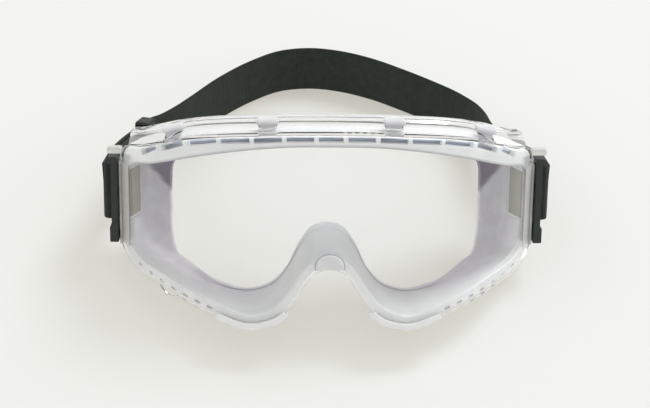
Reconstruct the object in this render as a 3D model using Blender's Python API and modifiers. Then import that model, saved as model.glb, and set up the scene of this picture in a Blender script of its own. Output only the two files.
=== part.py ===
"""Safety goggles with a clear wrap-round lens, a soft vented body and an elastic headband.

Every piece is modelled in the goggle's own upright frame: X across the face, Y from the lens back towards
the face, Z up, with the origin on the front of the lens. Left and right are those of someone who looks at
the lens, so left is -X. One empty then leans the whole goggle back, so that it rests on its cheek and
temple flanges with the headband behind it. Sizes are in millimetres until MM turns them into metres.
"""

import math

import bmesh
import bpy
from mathutils import Matrix, Vector

MM = 0.001
GAP = 0.3                   # between touching pieces

# How the goggle stands.
LEAN_BACK = 26.0            # degrees
TABLE = -58.0               # height of what it stands on, from the lens front's middle, leaning
FOOTPRINT_MIDDLE = 75.8     # of the whole goggle, behind the lens front's middle

# The lens. Its front curves back by WRAP_DEPTH at WRAP_HALF, with the fourth power of the distance.
WRAP_DEPTH = 36.5
WRAP_HALF = 85.4
LENS_HALF = 91.2
LENS_WALL = 2.0
LENS_COLUMNS = (0, 2.6, 5.2, 7.4, 9.6, 12, 14.5, 17.5, 21, 27, 33, 40, 47.5, 55, 62, 69, 75, 80, 84.5, 88,
                90, LENS_HALF)
LENS_ROWS = 7
BRIM_HALF = 86.0            # clear shelf over the top vents
BRIM_DEPTH = 19.5
BRIM_END_DEPTH = 16.5       # at its two ends, from where it deepens at BRIM_CHAMFER
BRIM_CHAMFER = 1.3
BRIM_RISE = 3.7             # from its front to its back edge
BRIM_START = 0.8            # it begins this far behind the front, and as far inside the wall
BRIM_SINK = 0.2
BRIM_COLUMNS = 16
BRIM_ROWS = 3
LUG_Y = 51.0                # plates at the sides that the clips swing on
LUG_Z = -2.0
LUG_SIZE = (11.6, 37.0)     # deep and tall
CATCH_AT = (92.2, 46.6, 21.9)
CATCH_SIZE = (8.4, 5.0, 3.0)
FINGER_TAB_X = -67.1        # rounded tab at the lower edge, to pull the lens off by
FINGER_TAB_RADIUS = 7.8
FINGER_TAB_SHOWS = 1.9
FINGER_TAB_WALL = 1.4

# The soft body.
BODY_WALL = 2.0
FACE_DEPTH = 43.0           # face flange at the forehead and the cheeks
TEMPLE_DEPTH = 72.0         # face flange at the temples
LIP_FORWARD = 3.0           # the flange's inner edge lies this far in front of its outer edge
LIP_TEMPLE = 5.0            # and this much further at the temples
RIM_THICK = 3.0
RIM_BACK = LENS_WALL + GAP + 0.1
VENT_DIVIDERS = (6.05, 19.2, 32.4, 45.8, 59.1, 70.3)
VENT_END = 80.1
VENT_BELOW = 3.7            # middles of the slots below the lens's upper edge
VENT_TALL = 2.3
DIVIDER_WIDE = 2.0
LOWER_VENTS = 7
LOWER_VENT_FROM = (49.5, -36.9)
LOWER_VENT_TO = (80.0, -25.9)
LOWER_VENT_TURN = 21.0      # degrees
LOWER_VENT_SIZE = (2.6, 1.2)
BAFFLE_POINTS = 5           # of the rim's ring, to each side of its top centre
BAFFLE_FOOT = 0.4           # above the band's lower edge
BAFFLE_TOP = 3.6            # below the lens's upper edge
BAFFLE_WALL = 1.2
STUD_ROOM_FROM = 87.6
STUD_ROOM_RADIUS = 2.6
SCREEN_AT = (85.2, 58.6, 0.5)
SCREEN_SIZE = (1.2, 14.0, 24.0)
SCREEN_TURN = 18.0          # degrees
CHANNEL_SECTION = ((-1.6, -1.7), (1.5, -1.7), (2.1, -1.0), (2.1, 5.2), (0.35, 5.2), (0.35, -0.35),
                   (-1.6, -0.35))  # (outwards from the lens's edge, back from its front)
CHANNEL_ENDS = (47.5, 17.5)  # its two ends across the face
NOSE_PAD = (11.8, 6.6, 1.5)     # across, tall and thick
NOSE_PAD_Y = -2.75
NOSE_PAD_DROP = -0.8
TAB_XS = (-65.3, -26.0, 26.0, 65.3)
TAB_BACK = 7.6              # retaining tabs behind the lens front
TAB_HEAD = (9.2, 6.0, 2.8)
TAB_ROUNDING = 1.2
TAB_NECK = (6.6, 3.0, 4.2)
TAB_SLOT = (7.6, 4.6, 12.0)

# The clips that join the headband to the lens.
CLIP_X = 93.0               # middle of the clip's bar
CLIP_FRONT = 42.95
CLIP_BAR = (3.0, 4.5)       # across and deep
CLIP_HALF_TALL = 19.2
CLIP_OUT = 95.4
CLIP_REAR = 52.5
CLIP_ARM_TALL = 3.2
CLIP_FOOT_TALL = 7.0
ROD_X = 94.4                # rod that the webbing loops round
ROD_Y = 51.5
ROD_RADIUS = 0.95
PIVOT_Y = 50.0              # hinge axis
PIVOT_Z = -16.7
SOCKET_RADIUS = 2.5
BALL_RADIUS = 2.1
NECK_RADIUS = 1.2

# The headband.
STRAP_WIDE = 25.4
STRAP_THICK = 1.4
STRAP_LIFT = 2.8            # middle of the webbing above the middle of the clip
STRAP_FLAT = TABLE + STRAP_WIDE / 2 + GAP
STRAP_STEPS = 2
LOOP_X = 95.1               # middle of the slack loop round the rod
LOOP_RADIUS = 2.75          # to the webbing's middle
LOOP_SIDES = 8
FOLD_LEFT = 64.0            # length of the folded-back end
FOLD_RIGHT = 40.0
LAYERS_LEFT = 3.0           # middle to middle of the two layers past the loop
LAYERS_RIGHT = 1.9
FOLD_CLOSES = 7.0           # length over which the layers close in on each other
# Middle line of the webbing from the left rod round the back to the right rod, leaning, by hand.
STRAP_ROUTE = ((-96.6, 56.5, -22.6), (-94.9, 66, -25.6), (-92.4, 75.5, -29.0), (-89.4, 85, -32.6),
               (-86.4, 94.5, -36.2), (-83.4, 104, -39.8), (-78.0, 111.8, -42.6), (-71.0, 121, -44.2),
               (-63.5, 131.2, STRAP_FLAT), (-50, 147, STRAP_FLAT), (-35.4, 160, STRAP_FLAT),
               (-20.4, 169, STRAP_FLAT), (-5, 171.4, STRAP_FLAT), (10.2, 168.9, STRAP_FLAT),
               (25.2, 163, STRAP_FLAT), (40, 154.3, STRAP_FLAT), (53.8, 145, STRAP_FLAT),
               (67.3, 133.8, -44.6), (74.4, 124.3, -43.8), (77.6, 115.5, -42.6), (79.2, 106, -41.0),
               (81.6, 96, -38.8), (85.6, 86.5, -36.0), (90.2, 77.2, -32.4), (94.2, 68.0, -28.2),
               (96.8, 57.5, -23.2))
SLIDER_AT = (-85.8, 96.4, -36.92)
SLIDER_FRAME = (30.0, 11.0, 7.0)     # across the webbing, along it and through it
SLIDER_WINDOW = (26.4, 20.0, 5.8)
SLIDER_BAR = (28.4, 2.4, 0.7)
BAR_TACK_AT = (87.2, 83.2, -34.74)
BAR_TACK_SIZE = (21.0, 3.0, 0.7)
BAR_TACK_LIFT = 1.5

# Half outlines as (x, z), from the top centre round to the nose, all with the same stations.
LENS_EDGE = ((0, 40.6), (24, 40.2), (61.5, 35.8), (78.7, 28.8), (88.5, 24.0), (91.2, 16.0), (91.2, -3.0),
             (91.2, -19.0), (87.5, -25.0), (71.0, -31.1), (47.5, -39.6), (33.0, -43.6), (21.0, -40.0),
             (14.5, -32.6), (9.6, -24.2), (5.2, -19.6), (0, -18.4))
RIM_EDGE = ((0, 38.5), (24, 38.1), (61.2, 33.7), (78.1, 27.0), (86.6, 22.4), (88.2, 15.4), (88.6, -3.0),
            (88.2, -18.4), (86.1, -24.0), (70.7, -30.3), (47.3, -38.8), (32.9, -42.7), (21.4, -39.2),
            (15.2, -32.1), (10.3, -23.8), (5.6, -18.9), (0, -17.6))
BAND_EDGE = ((0, 33.6), (24, 33.0), (58, 27.0), (75, 20.6), (83.6, 17.2), (86.0, 12.0), (86.3, -3.0),
             (85.8, -17.0), (83.0, -20.7), (68.8, -26.0), (46.0, -35.2), (32.6, -39.2), (22.9, -35.4),
             (16.9, -28.9), (11.7, -20.8), (6.4, -15.6), (0, -14.2))
FLANGE_EDGE = ((0, 37.0), (24, 36.6), (60, 33.0), (74, 28.0), (80.0, 21.0), (81.6, 12.0), (81.8, -3.0),
               (81.4, -17.0), (79.0, -27.0), (69.5, -34.6), (48.5, -41.4), (33.0, -42.6), (21.0, -38.0),
               (15.0, -30.0), (10.0, -20.8), (5.2, -15.0), (0, -13.4))
FACE_EDGE = ((0, 26.0), (24, 25.6), (52, 23.2), (63.5, 18.6), (68.2, 12.0), (69.2, 4.0), (69.2, -8.0),
             (69.0, -20.5), (66.8, -29.2), (58.2, -34.0), (46.0, -37.8), (33.9, -39.6), (25.0, -36.6),
             (18.6, -30.4), (11.8, -17.2), (6.2, -10.4), (0, -8.8))
# How far each station has turned from the forehead and cheeks (0) to the temple (1).
TEMPLE_SHARE = (0, 0.05, 0.42, 0.72, 0.90, 1.0, 1.0, 1.0, 0.86, 0.5, 0.14, 0.03, 0, 0, 0, 0, 0)
# How far the skirt begins behind the rim: further above, where the baffle stands between them.
SKIRT_ROOM = (2.1, 2.1, 2.1, 2.1, 1.6, 1.1, 1.1, 1.1, 1.0, 0.6, 0.5, 0.5, 0.5, 0.5, 0.5, 0.5, 0.5)
SIDE_STATION = 6            # the last station of an outline's upper edge, and the first past its lower one

COLOURS = {
    "clear_lens": ((0.86, 0.90, 0.90), 0.05, 0.35),
    "soft_body": ((0.74, 0.76, 0.84), 0.45, 1.0),
    "vent_screen": ((0.22, 0.23, 0.17), 0.7, 1.0),
    "vent_baffle": ((0.38, 0.43, 0.54), 0.5, 1.0),
    "clip_plastic": ((0.024, 0.032, 0.028), 0.4, 1.0),
    "webbing": ((0.022, 0.028, 0.023), 0.9, 1.0),
    "thread": ((0.018, 0.022, 0.019), 0.8, 1.0),
}


def clear_scene():
    for obj in list(bpy.data.objects):
        bpy.data.objects.remove(obj, do_unlink=True)


def new_collection(name):
    collection = bpy.data.collections.new(name)
    bpy.context.scene.collection.children.link(collection)
    return collection


def material(name):
    """The named finish as a Principled material: its colour, roughness and alpha."""
    found = bpy.data.materials.get(name)
    if found:
        return found
    colour, roughness, alpha = COLOURS[name]
    made = bpy.data.materials.new(name)
    made.use_nodes = True
    shader = made.node_tree.nodes["Principled BSDF"]
    shader.inputs["Base Color"].default_value = (*colour, 1)
    shader.inputs["Roughness"].default_value = roughness
    shader.inputs["Metallic"].default_value = 0
    shader.inputs["Alpha"].default_value = alpha
    return made


# Curves and outlines.

def wrap(x):
    """How far the lens front has curved back at this distance from its middle."""
    return WRAP_DEPTH * (abs(x) / WRAP_HALF) ** 4


def wrap_slope(x):
    return math.copysign(4 * wrap(x) / max(abs(x), 1e-6), x)


def smooth_through(points, steps):
    """Points of a smooth curve through these, with this many steps from each to the next."""
    points = [Vector(p) for p in points]
    spans = [(b - a).length for a, b in zip(points, points[1:])]
    slopes = [(points[1] - points[0]) / spans[0]]
    for i in range(1, len(points) - 1):
        before = (points[i] - points[i - 1]) / spans[i - 1]
        after = (points[i + 1] - points[i]) / spans[i]
        slopes.append((before * spans[i] + after * spans[i - 1]) / (spans[i] + spans[i - 1]))
    slopes.append((points[-1] - points[-2]) / spans[-1])
    curve = []
    for i, span in enumerate(spans):
        for step in range(steps):
            t = step / steps
            curve.append((2 * t**3 - 3 * t**2 + 1) * points[i]
                         + (t**3 - 2 * t**2 + t) * span * slopes[i]
                         + (3 * t**2 - 2 * t**3) * points[i + 1]
                         + (t**3 - t**2) * span * slopes[i + 1])
    curve.append(points[-1])
    return curve


def flat(outline):
    """An outline's (x, z) as points in the plane y = 0."""
    return [(x, 0, z) for x, z in outline]


def upper_edge(outline, steps=4):
    """The outline's upper edge from its middle to its side, as points in order of x."""
    return smooth_through(flat(outline[:SIDE_STATION]), steps)


def lower_edge(outline, steps=4):
    """The outline's lower edge from its middle to its side, as points in order of x."""
    return smooth_through(flat(outline[SIDE_STATION + 1:][::-1]), steps)


def height_at(curve, x):
    """Height of a curve of (x, y, z) points where it passes this x, its points being in order of x."""
    for a, b in zip(curve, curve[1:]):
        if a.x <= x <= b.x and b.x > a.x:
            return a.z + (b.z - a.z) * (x - a.x) / (b.x - a.x)
    return curve[-1].z


def ring(half, steps=2):
    """A closed ring from half of it, (x, y, z) from the top centre to the nose centre."""
    mirrored = [(-x, y, z) for x, y, z in half[1:3]][::-1]
    below = [(-x, y, z) for x, y, z in half[-3:-1]][::-1]
    curve = smooth_through([*mirrored, *half, *below], steps)[2 * steps:-2 * steps]
    curve[0].x = 0
    curve[-1].x = 0
    return curve + [Vector((-p.x, p.y, p.z)) for p in curve[-2:0:-1]]


def inset(outline, amount):
    """The outline's (x, z) points moved this far towards its inside."""
    moved = []
    for i, (x, z) in enumerate(outline):
        before = outline[i - 1] if i else (-outline[1][0], outline[1][1])
        after = outline[i + 1] if i + 1 < len(outline) else (-outline[-2][0], outline[-2][1])
        along = Vector((after[0] - before[0], after[1] - before[1])).normalized()
        moved.append((x + along.y * amount, z - along.x * amount))
    return moved


def behind_front(x, z, back):
    """The point this far behind the lens front, square to its curve."""
    length = math.hypot(1, wrap_slope(x))
    return (x - back * wrap_slope(x) / length, wrap(x) + back / length, z)


def rim_depth(x):
    """How far back the rim's front is here, close behind the lens."""
    return wrap(x) + RIM_BACK * math.hypot(1, wrap_slope(x))


def rim_front(outline):
    """A ring on the rim's front."""
    return [Vector((p.x, rim_depth(p.x), p.z)) for p in ring(flat(outline))]


def behind_rim(outline, deep):
    """A ring this far behind the rim's outer front edge, station by station."""
    points = ring([(x, back, z) for (x, z), back in zip(outline, deep)])
    return [Vector((p.x, p.y + edge.y, p.z)) for p, edge in zip(points, rim_front(RIM_EDGE))]


def at_face(outline, forward=0.0, temple_forward=0.0):
    """Ring points on the face side, this far in front of the flange, and further at the temples."""
    return [(x, FACE_DEPTH - forward + (TEMPLE_DEPTH - FACE_DEPTH - temple_forward) * share, z)
            for (x, z), share in zip(outline, TEMPLE_SHARE)]


def between(first, second, share):
    return [tuple(a + (b - a) * share for a, b in zip(p, q)) for p, q in zip(first, second)]


def mirrored_columns(columns):
    return [-x for x in columns[:0:-1]] + list(columns)


# Shapes.

def shade(mesh):
    mesh.shade_smooth()
    mesh.set_sharp_from_angle(angle=math.radians(35))


def place(name, surface, data):
    obj = bpy.data.objects.new(name, data)
    obj.data.materials.append(material(surface))
    PARTS.objects.link(obj)
    obj.parent = LEANING
    return obj


def from_bmesh(name, surface, shape):
    mesh = bpy.data.meshes.new(name)
    shape.to_mesh(mesh)
    shape.free()
    shade(mesh)
    return place(name, surface, mesh)


def from_faces(name, surface, points, faces):
    """A mesh of these points and faces, its faces turned the same way."""
    mesh = bpy.data.meshes.new(name)
    mesh.from_pydata([Vector(p) * MM for p in points], [], faces)
    shape = bmesh.new()
    shape.from_mesh(mesh)
    bmesh.ops.recalc_face_normals(shape, faces=shape.faces)
    shape.to_mesh(mesh)
    shape.free()
    shade(mesh)
    return place(name, surface, mesh)


def thicken(obj, thickness, offset):
    solid = obj.modifiers.new("wall", "SOLIDIFY")
    solid.thickness = thickness * MM
    solid.offset = offset
    solid.use_even_offset = True
    solid.use_quality_normals = True


def loft(name, surface, rings, closed_section, closed_ring, capped=False):
    """Quads between rings. A closed section joins the last ring to the first."""
    count = len(rings[0])
    sections = [(i, i + 1) for i in range(len(rings) - 1)]
    if closed_section:
        sections.append((len(rings) - 1, 0))
    around = range(count if closed_ring else count - 1)
    faces = [(a * count + i, a * count + (i + 1) % count, b * count + (i + 1) % count, b * count + i)
             for a, b in sections for i in around]
    if capped:
        last = (len(rings) - 1) * count
        faces += [tuple(range(count)), tuple(range(last, last + count))]
    return from_faces(name, surface, [p for one in rings for p in one], faces)


def thick_sheet(name, surface, rows, thickness, offset, side=None):
    """An open sheet through rows of points, thickened into a solid to the given side of it."""
    obj = loft(name, surface, rows, closed_section=False, closed_ring=False)
    if side and sum(Vector(side).dot(f.normal) * f.area for f in obj.data.polygons) < 0:
        obj.data.flip_normals()
    thicken(obj, thickness, offset)
    return obj


def box(name, surface, centre, size, bevel=0.0):
    shape = bmesh.new()
    bmesh.ops.create_cube(shape, size=1, matrix=Matrix.Diagonal((*(s * MM for s in size), 1)))
    obj = from_bmesh(name, surface, shape)
    obj.location = Vector(centre) * MM
    if bevel:
        rounded = obj.modifiers.new("rounded", "BEVEL")
        rounded.width = bevel * MM
        rounded.segments = 3
        rounded.limit_method = "ANGLE"
    return obj


def cylinder(name, surface, start, end, radius, sides=24):
    start, end = Vector(start), Vector(end)
    shape = bmesh.new()
    bmesh.ops.create_cone(shape, segments=sides, radius1=radius * MM, radius2=radius * MM,
                          depth=(end - start).length * MM, cap_ends=True)
    obj = from_bmesh(name, surface, shape)
    obj.rotation_mode = "QUATERNION"
    obj.rotation_quaternion = (end - start).to_track_quat("Z", "Y")
    obj.location = (start + end) / 2 * MM
    return obj


def combine(obj, operation, other):
    """Cuts the other object from this one, or joins it on, and sets the other aside as a helper."""
    step = obj.modifiers.new(operation.lower(), "BOOLEAN")
    step.operation = operation
    step.object = other
    PARTS.objects.unlink(other)
    HELPERS.objects.link(other)
    other.hide_render = True
    other.display_type = "WIRE"


# The goggle.

def on_brim(name, surface, x, lift, size, bevel=0.0):
    """A box that stands square on the brim at a retaining tab, with its middle this far above the brim."""
    top = upper_edge(LENS_EDGE)
    slope = (height_at(top, abs(x) + 3) - height_at(top, abs(x) - 3)) / 6
    roll = -math.atan(slope) * math.copysign(1, x)
    height = height_at(top, abs(x)) - BRIM_SINK + BRIM_RISE * TAB_BACK / BRIM_DEPTH
    up = Vector((math.sin(roll), 0, math.cos(roll)))
    made = box(name, surface, Vector((x, wrap(x) + TAB_BACK, height)) + up * lift, size, bevel)
    made.rotation_euler.y = roll
    return made


def make_brim():
    top = upper_edge(LENS_EDGE)
    columns = mirrored_columns([BRIM_HALF * i / BRIM_COLUMNS for i in range(BRIM_COLUMNS + 1)])
    rows = []
    for row in range(BRIM_ROWS + 1):
        rows.append([])
        for x in columns:
            depth = min(BRIM_DEPTH, BRIM_END_DEPTH + BRIM_CHAMFER * (BRIM_HALF - abs(x)))
            back = BRIM_START + (depth - BRIM_START) * row / BRIM_ROWS
            height = height_at(top, abs(x)) - BRIM_SINK + BRIM_RISE * back / BRIM_DEPTH
            rows[-1].append((x, wrap(x) + back, height))
    return thick_sheet("brim", "clear_lens", rows, LENS_WALL, -1, side=(0, 0, 1))


def make_lens():
    """Clear window with its brim over the top vents, side lugs for the clips and a catch above each clip."""
    top, bottom = upper_edge(LENS_EDGE), lower_edge(LENS_EDGE)
    rows = []
    for row in range(LENS_ROWS + 1):
        rows.append([])
        for x in mirrored_columns(LENS_COLUMNS):
            high, low = height_at(top, abs(x)), height_at(bottom, abs(x))
            rows[-1].append((x, wrap(x), high + (low - high) * row / LENS_ROWS))
    lens = thick_sheet("lens", "clear_lens", rows, LENS_WALL, -1, side=(0, -1, 0))
    combine(lens, "UNION", make_brim())
    for side in (-1, 1):
        lug_x = side * (LENS_HALF - LENS_WALL / 2)
        combine(lens, "UNION", box("lug", "clear_lens", (lug_x, LUG_Y, LUG_Z), (LENS_WALL, *LUG_SIZE)))
        catch_at = (side * CATCH_AT[0], *CATCH_AT[1:])
        combine(lens, "UNION", box("catch", "clear_lens", catch_at, CATCH_SIZE))
        through = [(side * (LENS_HALF + reach), PIVOT_Y, PIVOT_Z) for reach in (-5, 5)]
        combine(lens, "DIFFERENCE", cylinder("socket", "clear_lens", *through, SOCKET_RADIUS))
    tab_z = height_at(bottom, abs(FINGER_TAB_X)) + FINGER_TAB_RADIUS - FINGER_TAB_SHOWS
    faces = [behind_front(FINGER_TAB_X, tab_z, (LENS_WALL + side * FINGER_TAB_WALL) / 2) for side in (-1, 1)]
    combine(lens, "UNION", cylinder("finger_tab", "clear_lens", *faces, FINGER_TAB_RADIUS))
    for x in TAB_XS:
        combine(lens, "DIFFERENCE", on_brim("tab_slot", "clear_lens", x, 0, TAB_SLOT))


def make_lens_tabs():
    """Soft mushroom tabs of the body that poke up through the brim and hold the lens on."""
    for number, x in enumerate(TAB_XS, 1):
        head = on_brim(f"lens_tab_{number}", "soft_body", x, 1.5 * GAP + TAB_HEAD[2] / 2, TAB_HEAD, TAB_ROUNDING)
        combine(head, "UNION", on_brim("tab_neck", "soft_body", x, 1.0 - TAB_NECK[2] / 2, TAB_NECK))


def cut_top_vents(rim):
    """A row of slots along the rim's upper band, with dividers between them."""
    top = upper_edge(LENS_EDGE)
    edges = [-VENT_END, *(-x for x in VENT_DIVIDERS[::-1]), *VENT_DIVIDERS, VENT_END]
    for left, right in zip(edges, edges[1:]):
        x = (left + right) / 2
        middle = height_at(top, abs(x)) - VENT_BELOW
        slope = (height_at(top, abs(x) + 2) - height_at(top, max(abs(x) - 2, 0))) / 4
        turn = math.atan(wrap_slope(x))
        wide = (right - left - DIVIDER_WIDE) * (1 + 0.5 * abs(turn))
        size = (wide, 4 * RIM_THICK, VENT_TALL)
        slot = box("vent_slot", "soft_body", (x, wrap(x) + 2 * RIM_BACK, middle), size)
        slot.rotation_euler = (0, -math.atan(slope) * math.copysign(1, x), turn)
        combine(rim, "DIFFERENCE", slot)


def cut_lower_vents(rim):
    """A row of small notches along each side of the rim's lower edge."""
    (x_from, z_from), (x_to, z_to) = LOWER_VENT_FROM, LOWER_VENT_TO
    wide, tall = LOWER_VENT_SIZE
    for side in (-1, 1):
        for number in range(LOWER_VENTS):
            share = number / (LOWER_VENTS - 1)
            x = x_from + (x_to - x_from) * share
            z = z_from + (z_to - z_from) * share
            size = (wide, 4 * RIM_THICK, tall)
            notch = box("lower_vent", "soft_body", (side * x, wrap(x) + 2 * RIM_BACK, z), size)
            turn = side * math.atan(wrap_slope(x))
            notch.rotation_euler = (0, -side * math.radians(LOWER_VENT_TURN), turn)
            combine(rim, "DIFFERENCE", notch)


def cut_for_studs(body):
    """Room for the round studs that the clips swing on."""
    for side in (-1, 1):
        reach = [(side * x, PIVOT_Y, PIVOT_Z) for x in (STUD_ROOM_FROM, LENS_HALF + 5)]
        combine(body, "DIFFERENCE", cylinder("stud_room", "soft_body", *reach, STUD_ROOM_RADIUS))


def make_front_rim():
    """Soft rim that the lens lies on."""
    thick = [RIM_THICK] * len(RIM_EDGE)
    rings = [rim_front(RIM_EDGE), rim_front(BAND_EDGE), behind_rim(BAND_EDGE, thick), behind_rim(RIM_EDGE, thick)]
    rim = loft("front_rim", "soft_body", rings, closed_section=True, closed_ring=True)
    cut_top_vents(rim)
    cut_lower_vents(rim)
    cut_for_studs(rim)


def make_face_skirt():
    """Soft wall from the rim back to the flange that seals against the face."""
    front = behind_rim(inset(RIM_EDGE, 0.2), [RIM_THICK + room for room in SKIRT_ROOM])
    back = ring(at_face(FLANGE_EDGE))
    lip = ring(at_face(FACE_EDGE, LIP_FORWARD, LIP_TEMPLE))
    turned = [(x, y + 1.2, z) for x, y, z in between(back, lip, 0.14)]
    rings = [front, between(front, back, 0.5), between(front, back, 0.94), turned, between(turned, lip, 0.5), lip]
    skirt = loft("face_skirt", "soft_body", rings, closed_section=False, closed_ring=True)
    outer_wall = [f for f in skirt.data.polygons if f.center.y < 30 * MM]
    if sum(f.normal.dot(f.center) * f.area for f in outer_wall) < 0:
        skirt.data.flip_normals()
    thicken(skirt, BODY_WALL, -1)
    opening = (7 * BODY_WALL, SCREEN_SIZE[1] + 2 * GAP, SCREEN_SIZE[2] + 2 * GAP)
    for side in (-1, 1):
        side_opening = box("side_opening", "soft_body", (side * SCREEN_AT[0], *SCREEN_AT[1:]), opening)
        side_opening.rotation_euler.z = side * math.radians(SCREEN_TURN)
        combine(skirt, "DIFFERENCE", side_opening)
    cut_for_studs(skirt)


def make_side_screens():
    """Stiff screens that close the side vents of the skirt."""
    for side, name in SIDES:
        middle = (side * SCREEN_AT[0], *SCREEN_AT[1:])
        screen = box(f"side_vent_screen_{name}", "vent_screen", middle, SCREEN_SIZE)
        screen.rotation_euler.z = side * math.radians(SCREEN_TURN)


def make_top_baffle():
    """Strip behind the top slots that turns the air, so that a splash has no straight way in."""
    deep = [RIM_THICK + GAP] * len(BAND_EDGE)
    edges = [behind_rim(outline, deep) for outline in (inset(BAND_EDGE, -BAFFLE_FOOT), inset(LENS_EDGE, BAFFLE_TOP))]
    rows = [[edge[i] for i in range(-BAFFLE_POINTS, BAFFLE_POINTS + 1)] for edge in edges]
    thick_sheet("top_vent_baffle", "vent_baffle", rows, BAFFLE_WALL, -1, side=(0, -1, 0))


def make_cheek_channels():
    """Soft channels that wrap the lens's lower edge over the cheeks."""
    first, last = CHANNEL_ENDS
    half = [p for p in smooth_through(flat(LENS_EDGE), 3) if p.z < 0 and last <= p.x <= first]
    for side, name in SIDES:
        edge = [Vector((side * p.x, 0, p.z)) for p in half]
        rings = []
        for i, p in enumerate(edge):
            along = (edge[min(i + 1, len(edge) - 1)] - edge[max(i - 1, 0)]).normalized()
            outward = Vector((-along.z, 0, along.x)) * side
            rings.append([(p.x + outward.x * out, wrap(p.x) + back, p.z + outward.z * out)
                          for out, back in CHANNEL_SECTION])
        loft(f"cheek_channel_{name}", "soft_body", rings, closed_section=False, closed_ring=True, capped=True)


def make_nose_pad():
    """Half-oval pad of the soft body over the middle of the lens's nose edge."""
    wide, tall, thick = NOSE_PAD
    curve = bpy.data.curves.new("nose_pad", "CURVE")
    curve.dimensions = "2D"
    curve.fill_mode = "BOTH"
    curve.extrude = thick / 2 * MM
    arc = [math.pi * i / 16 for i in range(17)]
    spline = curve.splines.new("POLY")
    spline.points.add(len(arc) - 1)
    for point, angle in zip(spline.points, arc):
        point.co = (wide / 2 * math.cos(angle) * MM, tall * math.sin(angle) * MM, 0, 1)
    spline.use_cyclic_u = True
    pad = place("nose_pad", "soft_body", curve)
    pad.rotation_euler.x = math.radians(90)
    pad.location = Vector((0, NOSE_PAD_Y, LENS_EDGE[-1][1] - NOSE_PAD_DROP)) * MM


# The clips.

def make_clip(side, name):
    """Clip that swings on the lens's lug: a bar, two arms and the rod that the webbing loops round."""
    wide, deep = CLIP_BAR
    inner = CLIP_X - wide / 2
    bar = box(f"strap_clip_{name}", "clip_plastic", (side * CLIP_X, CLIP_FRONT + deep / 2, 0),
              (wide, deep, 2 * CLIP_HALF_TALL))
    for end, tall in ((1, CLIP_ARM_TALL), (-1, CLIP_FOOT_TALL)):
        middle = (side * (inner + CLIP_OUT) / 2, (CLIP_FRONT + CLIP_REAR) / 2,
                  end * (CLIP_HALF_TALL - tall / 2))
        arm = box("clip_arm", "clip_plastic", middle, (CLIP_OUT - inner, CLIP_REAR - CLIP_FRONT, tall))
        combine(bar, "UNION", arm)
    rod_half = CLIP_HALF_TALL - CLIP_ARM_TALL / 2
    combine(bar, "UNION", cylinder("clip_rod", "clip_plastic", (side * ROD_X, ROD_Y, -rod_half),
                                   (side * ROD_X, ROD_Y, rod_half), ROD_RADIUS))
    combine(bar, "DIFFERENCE", cylinder("stud_hole", "clip_plastic", (side * (inner - 2), PIVOT_Y, PIVOT_Z),
                                        (side * (CLIP_OUT - 0.4), PIVOT_Y, PIVOT_Z), NECK_RADIUS + 2 * GAP))


def make_stud(side, name):
    """Ball stud on which the clip swings in the lens's socket."""
    shape = bmesh.new()
    bmesh.ops.create_uvsphere(shape, u_segments=20, v_segments=12, radius=BALL_RADIUS * MM)
    ball = from_bmesh(f"pivot_stud_{name}", "clip_plastic", shape)
    ball_x = LENS_HALF - LENS_WALL / 2
    ball.location = Vector((side * ball_x, PIVOT_Y, PIVOT_Z)) * MM
    combine(ball, "UNION", cylinder("stud_neck", "clip_plastic", (side * ball_x, PIVOT_Y, PIVOT_Z),
                                    (side * (CLIP_OUT - 0.8), PIVOT_Y, PIVOT_Z), NECK_RADIUS, sides=16))


# The headband.

def to_leaning(x, y, z):
    """A point of the goggle's own frame, as the leaning goggle holds it."""
    c, s = math.cos(math.radians(LEAN_BACK)), math.sin(math.radians(LEAN_BACK))
    return Vector((x, y * c + z * s, -y * s + z * c))


def to_upright(p):
    """The reverse of to_leaning."""
    c, s = math.cos(math.radians(LEAN_BACK)), math.sin(math.radians(LEAN_BACK))
    return Vector((p[0], p[1] * c - p[2] * s, p[1] * s + p[2] * c))


def strap_up(p, along):
    """Which way is up across the webbing: the goggle's own up at the rods, straight up at the back."""
    lean = 1 - min(max((p[1] - 50) / 80, 0), 1)
    up = Vector((0, math.sin(math.radians(LEAN_BACK)) * lean, math.cos(math.radians(LEAN_BACK) * lean)))
    return (up - up.dot(along) * along).normalized()


def inward_at(p, along):
    """Square to the webbing, towards the inside of the headband."""
    inward = along.cross(strap_up(p, along)).normalized()
    return -inward if inward.x * p[0] > 0 else inward


def folded_layer(route, length, near, far):
    """The folded-back layer: it runs inside the route, closing in on it from the loop."""
    travelled = 0
    layer = []
    for a, b in zip(route, route[1:]):
        along = (b - a).normalized()
        spacing = far + (near - far) * math.exp(-travelled / FOLD_CLOSES)
        layer.append(a + inward_at(a, along) * spacing)
        travelled += (b - a).length
        if travelled > length:
            break
    return layer


def loop_arc(side):
    """Half turn of the webbing round a rod, from its outer side forward and round to its inner side."""
    centre = to_leaning(side * LOOP_X, ROD_Y, STRAP_LIFT)
    forward = to_leaning(0, -1, 0)
    outward = Vector((side, 0, 0))
    turns = [math.pi * i / LOOP_SIDES for i in range(LOOP_SIDES + 1)]
    return [centre + LOOP_RADIUS * (outward * math.cos(a) + forward * math.sin(a)) for a in turns]


def strap_line():
    """Middle line of the whole webbing, from its left end to its right end, leaning."""
    ends = [to_leaning(side * (LOOP_X + LOOP_RADIUS), ROD_Y, STRAP_LIFT) for side in (-1, 1)]
    route = smooth_through([ends[0], *STRAP_ROUTE, ends[1]], STRAP_STEPS)
    left = folded_layer(route, FOLD_LEFT, 2 * LOOP_RADIUS, LAYERS_LEFT)
    right = folded_layer(route[::-1], FOLD_RIGHT, 2 * LOOP_RADIUS, LAYERS_RIGHT)
    return [*left[:0:-1], *loop_arc(-1)[:0:-1], *route, *loop_arc(1)[1:], *right[1:]]


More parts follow.
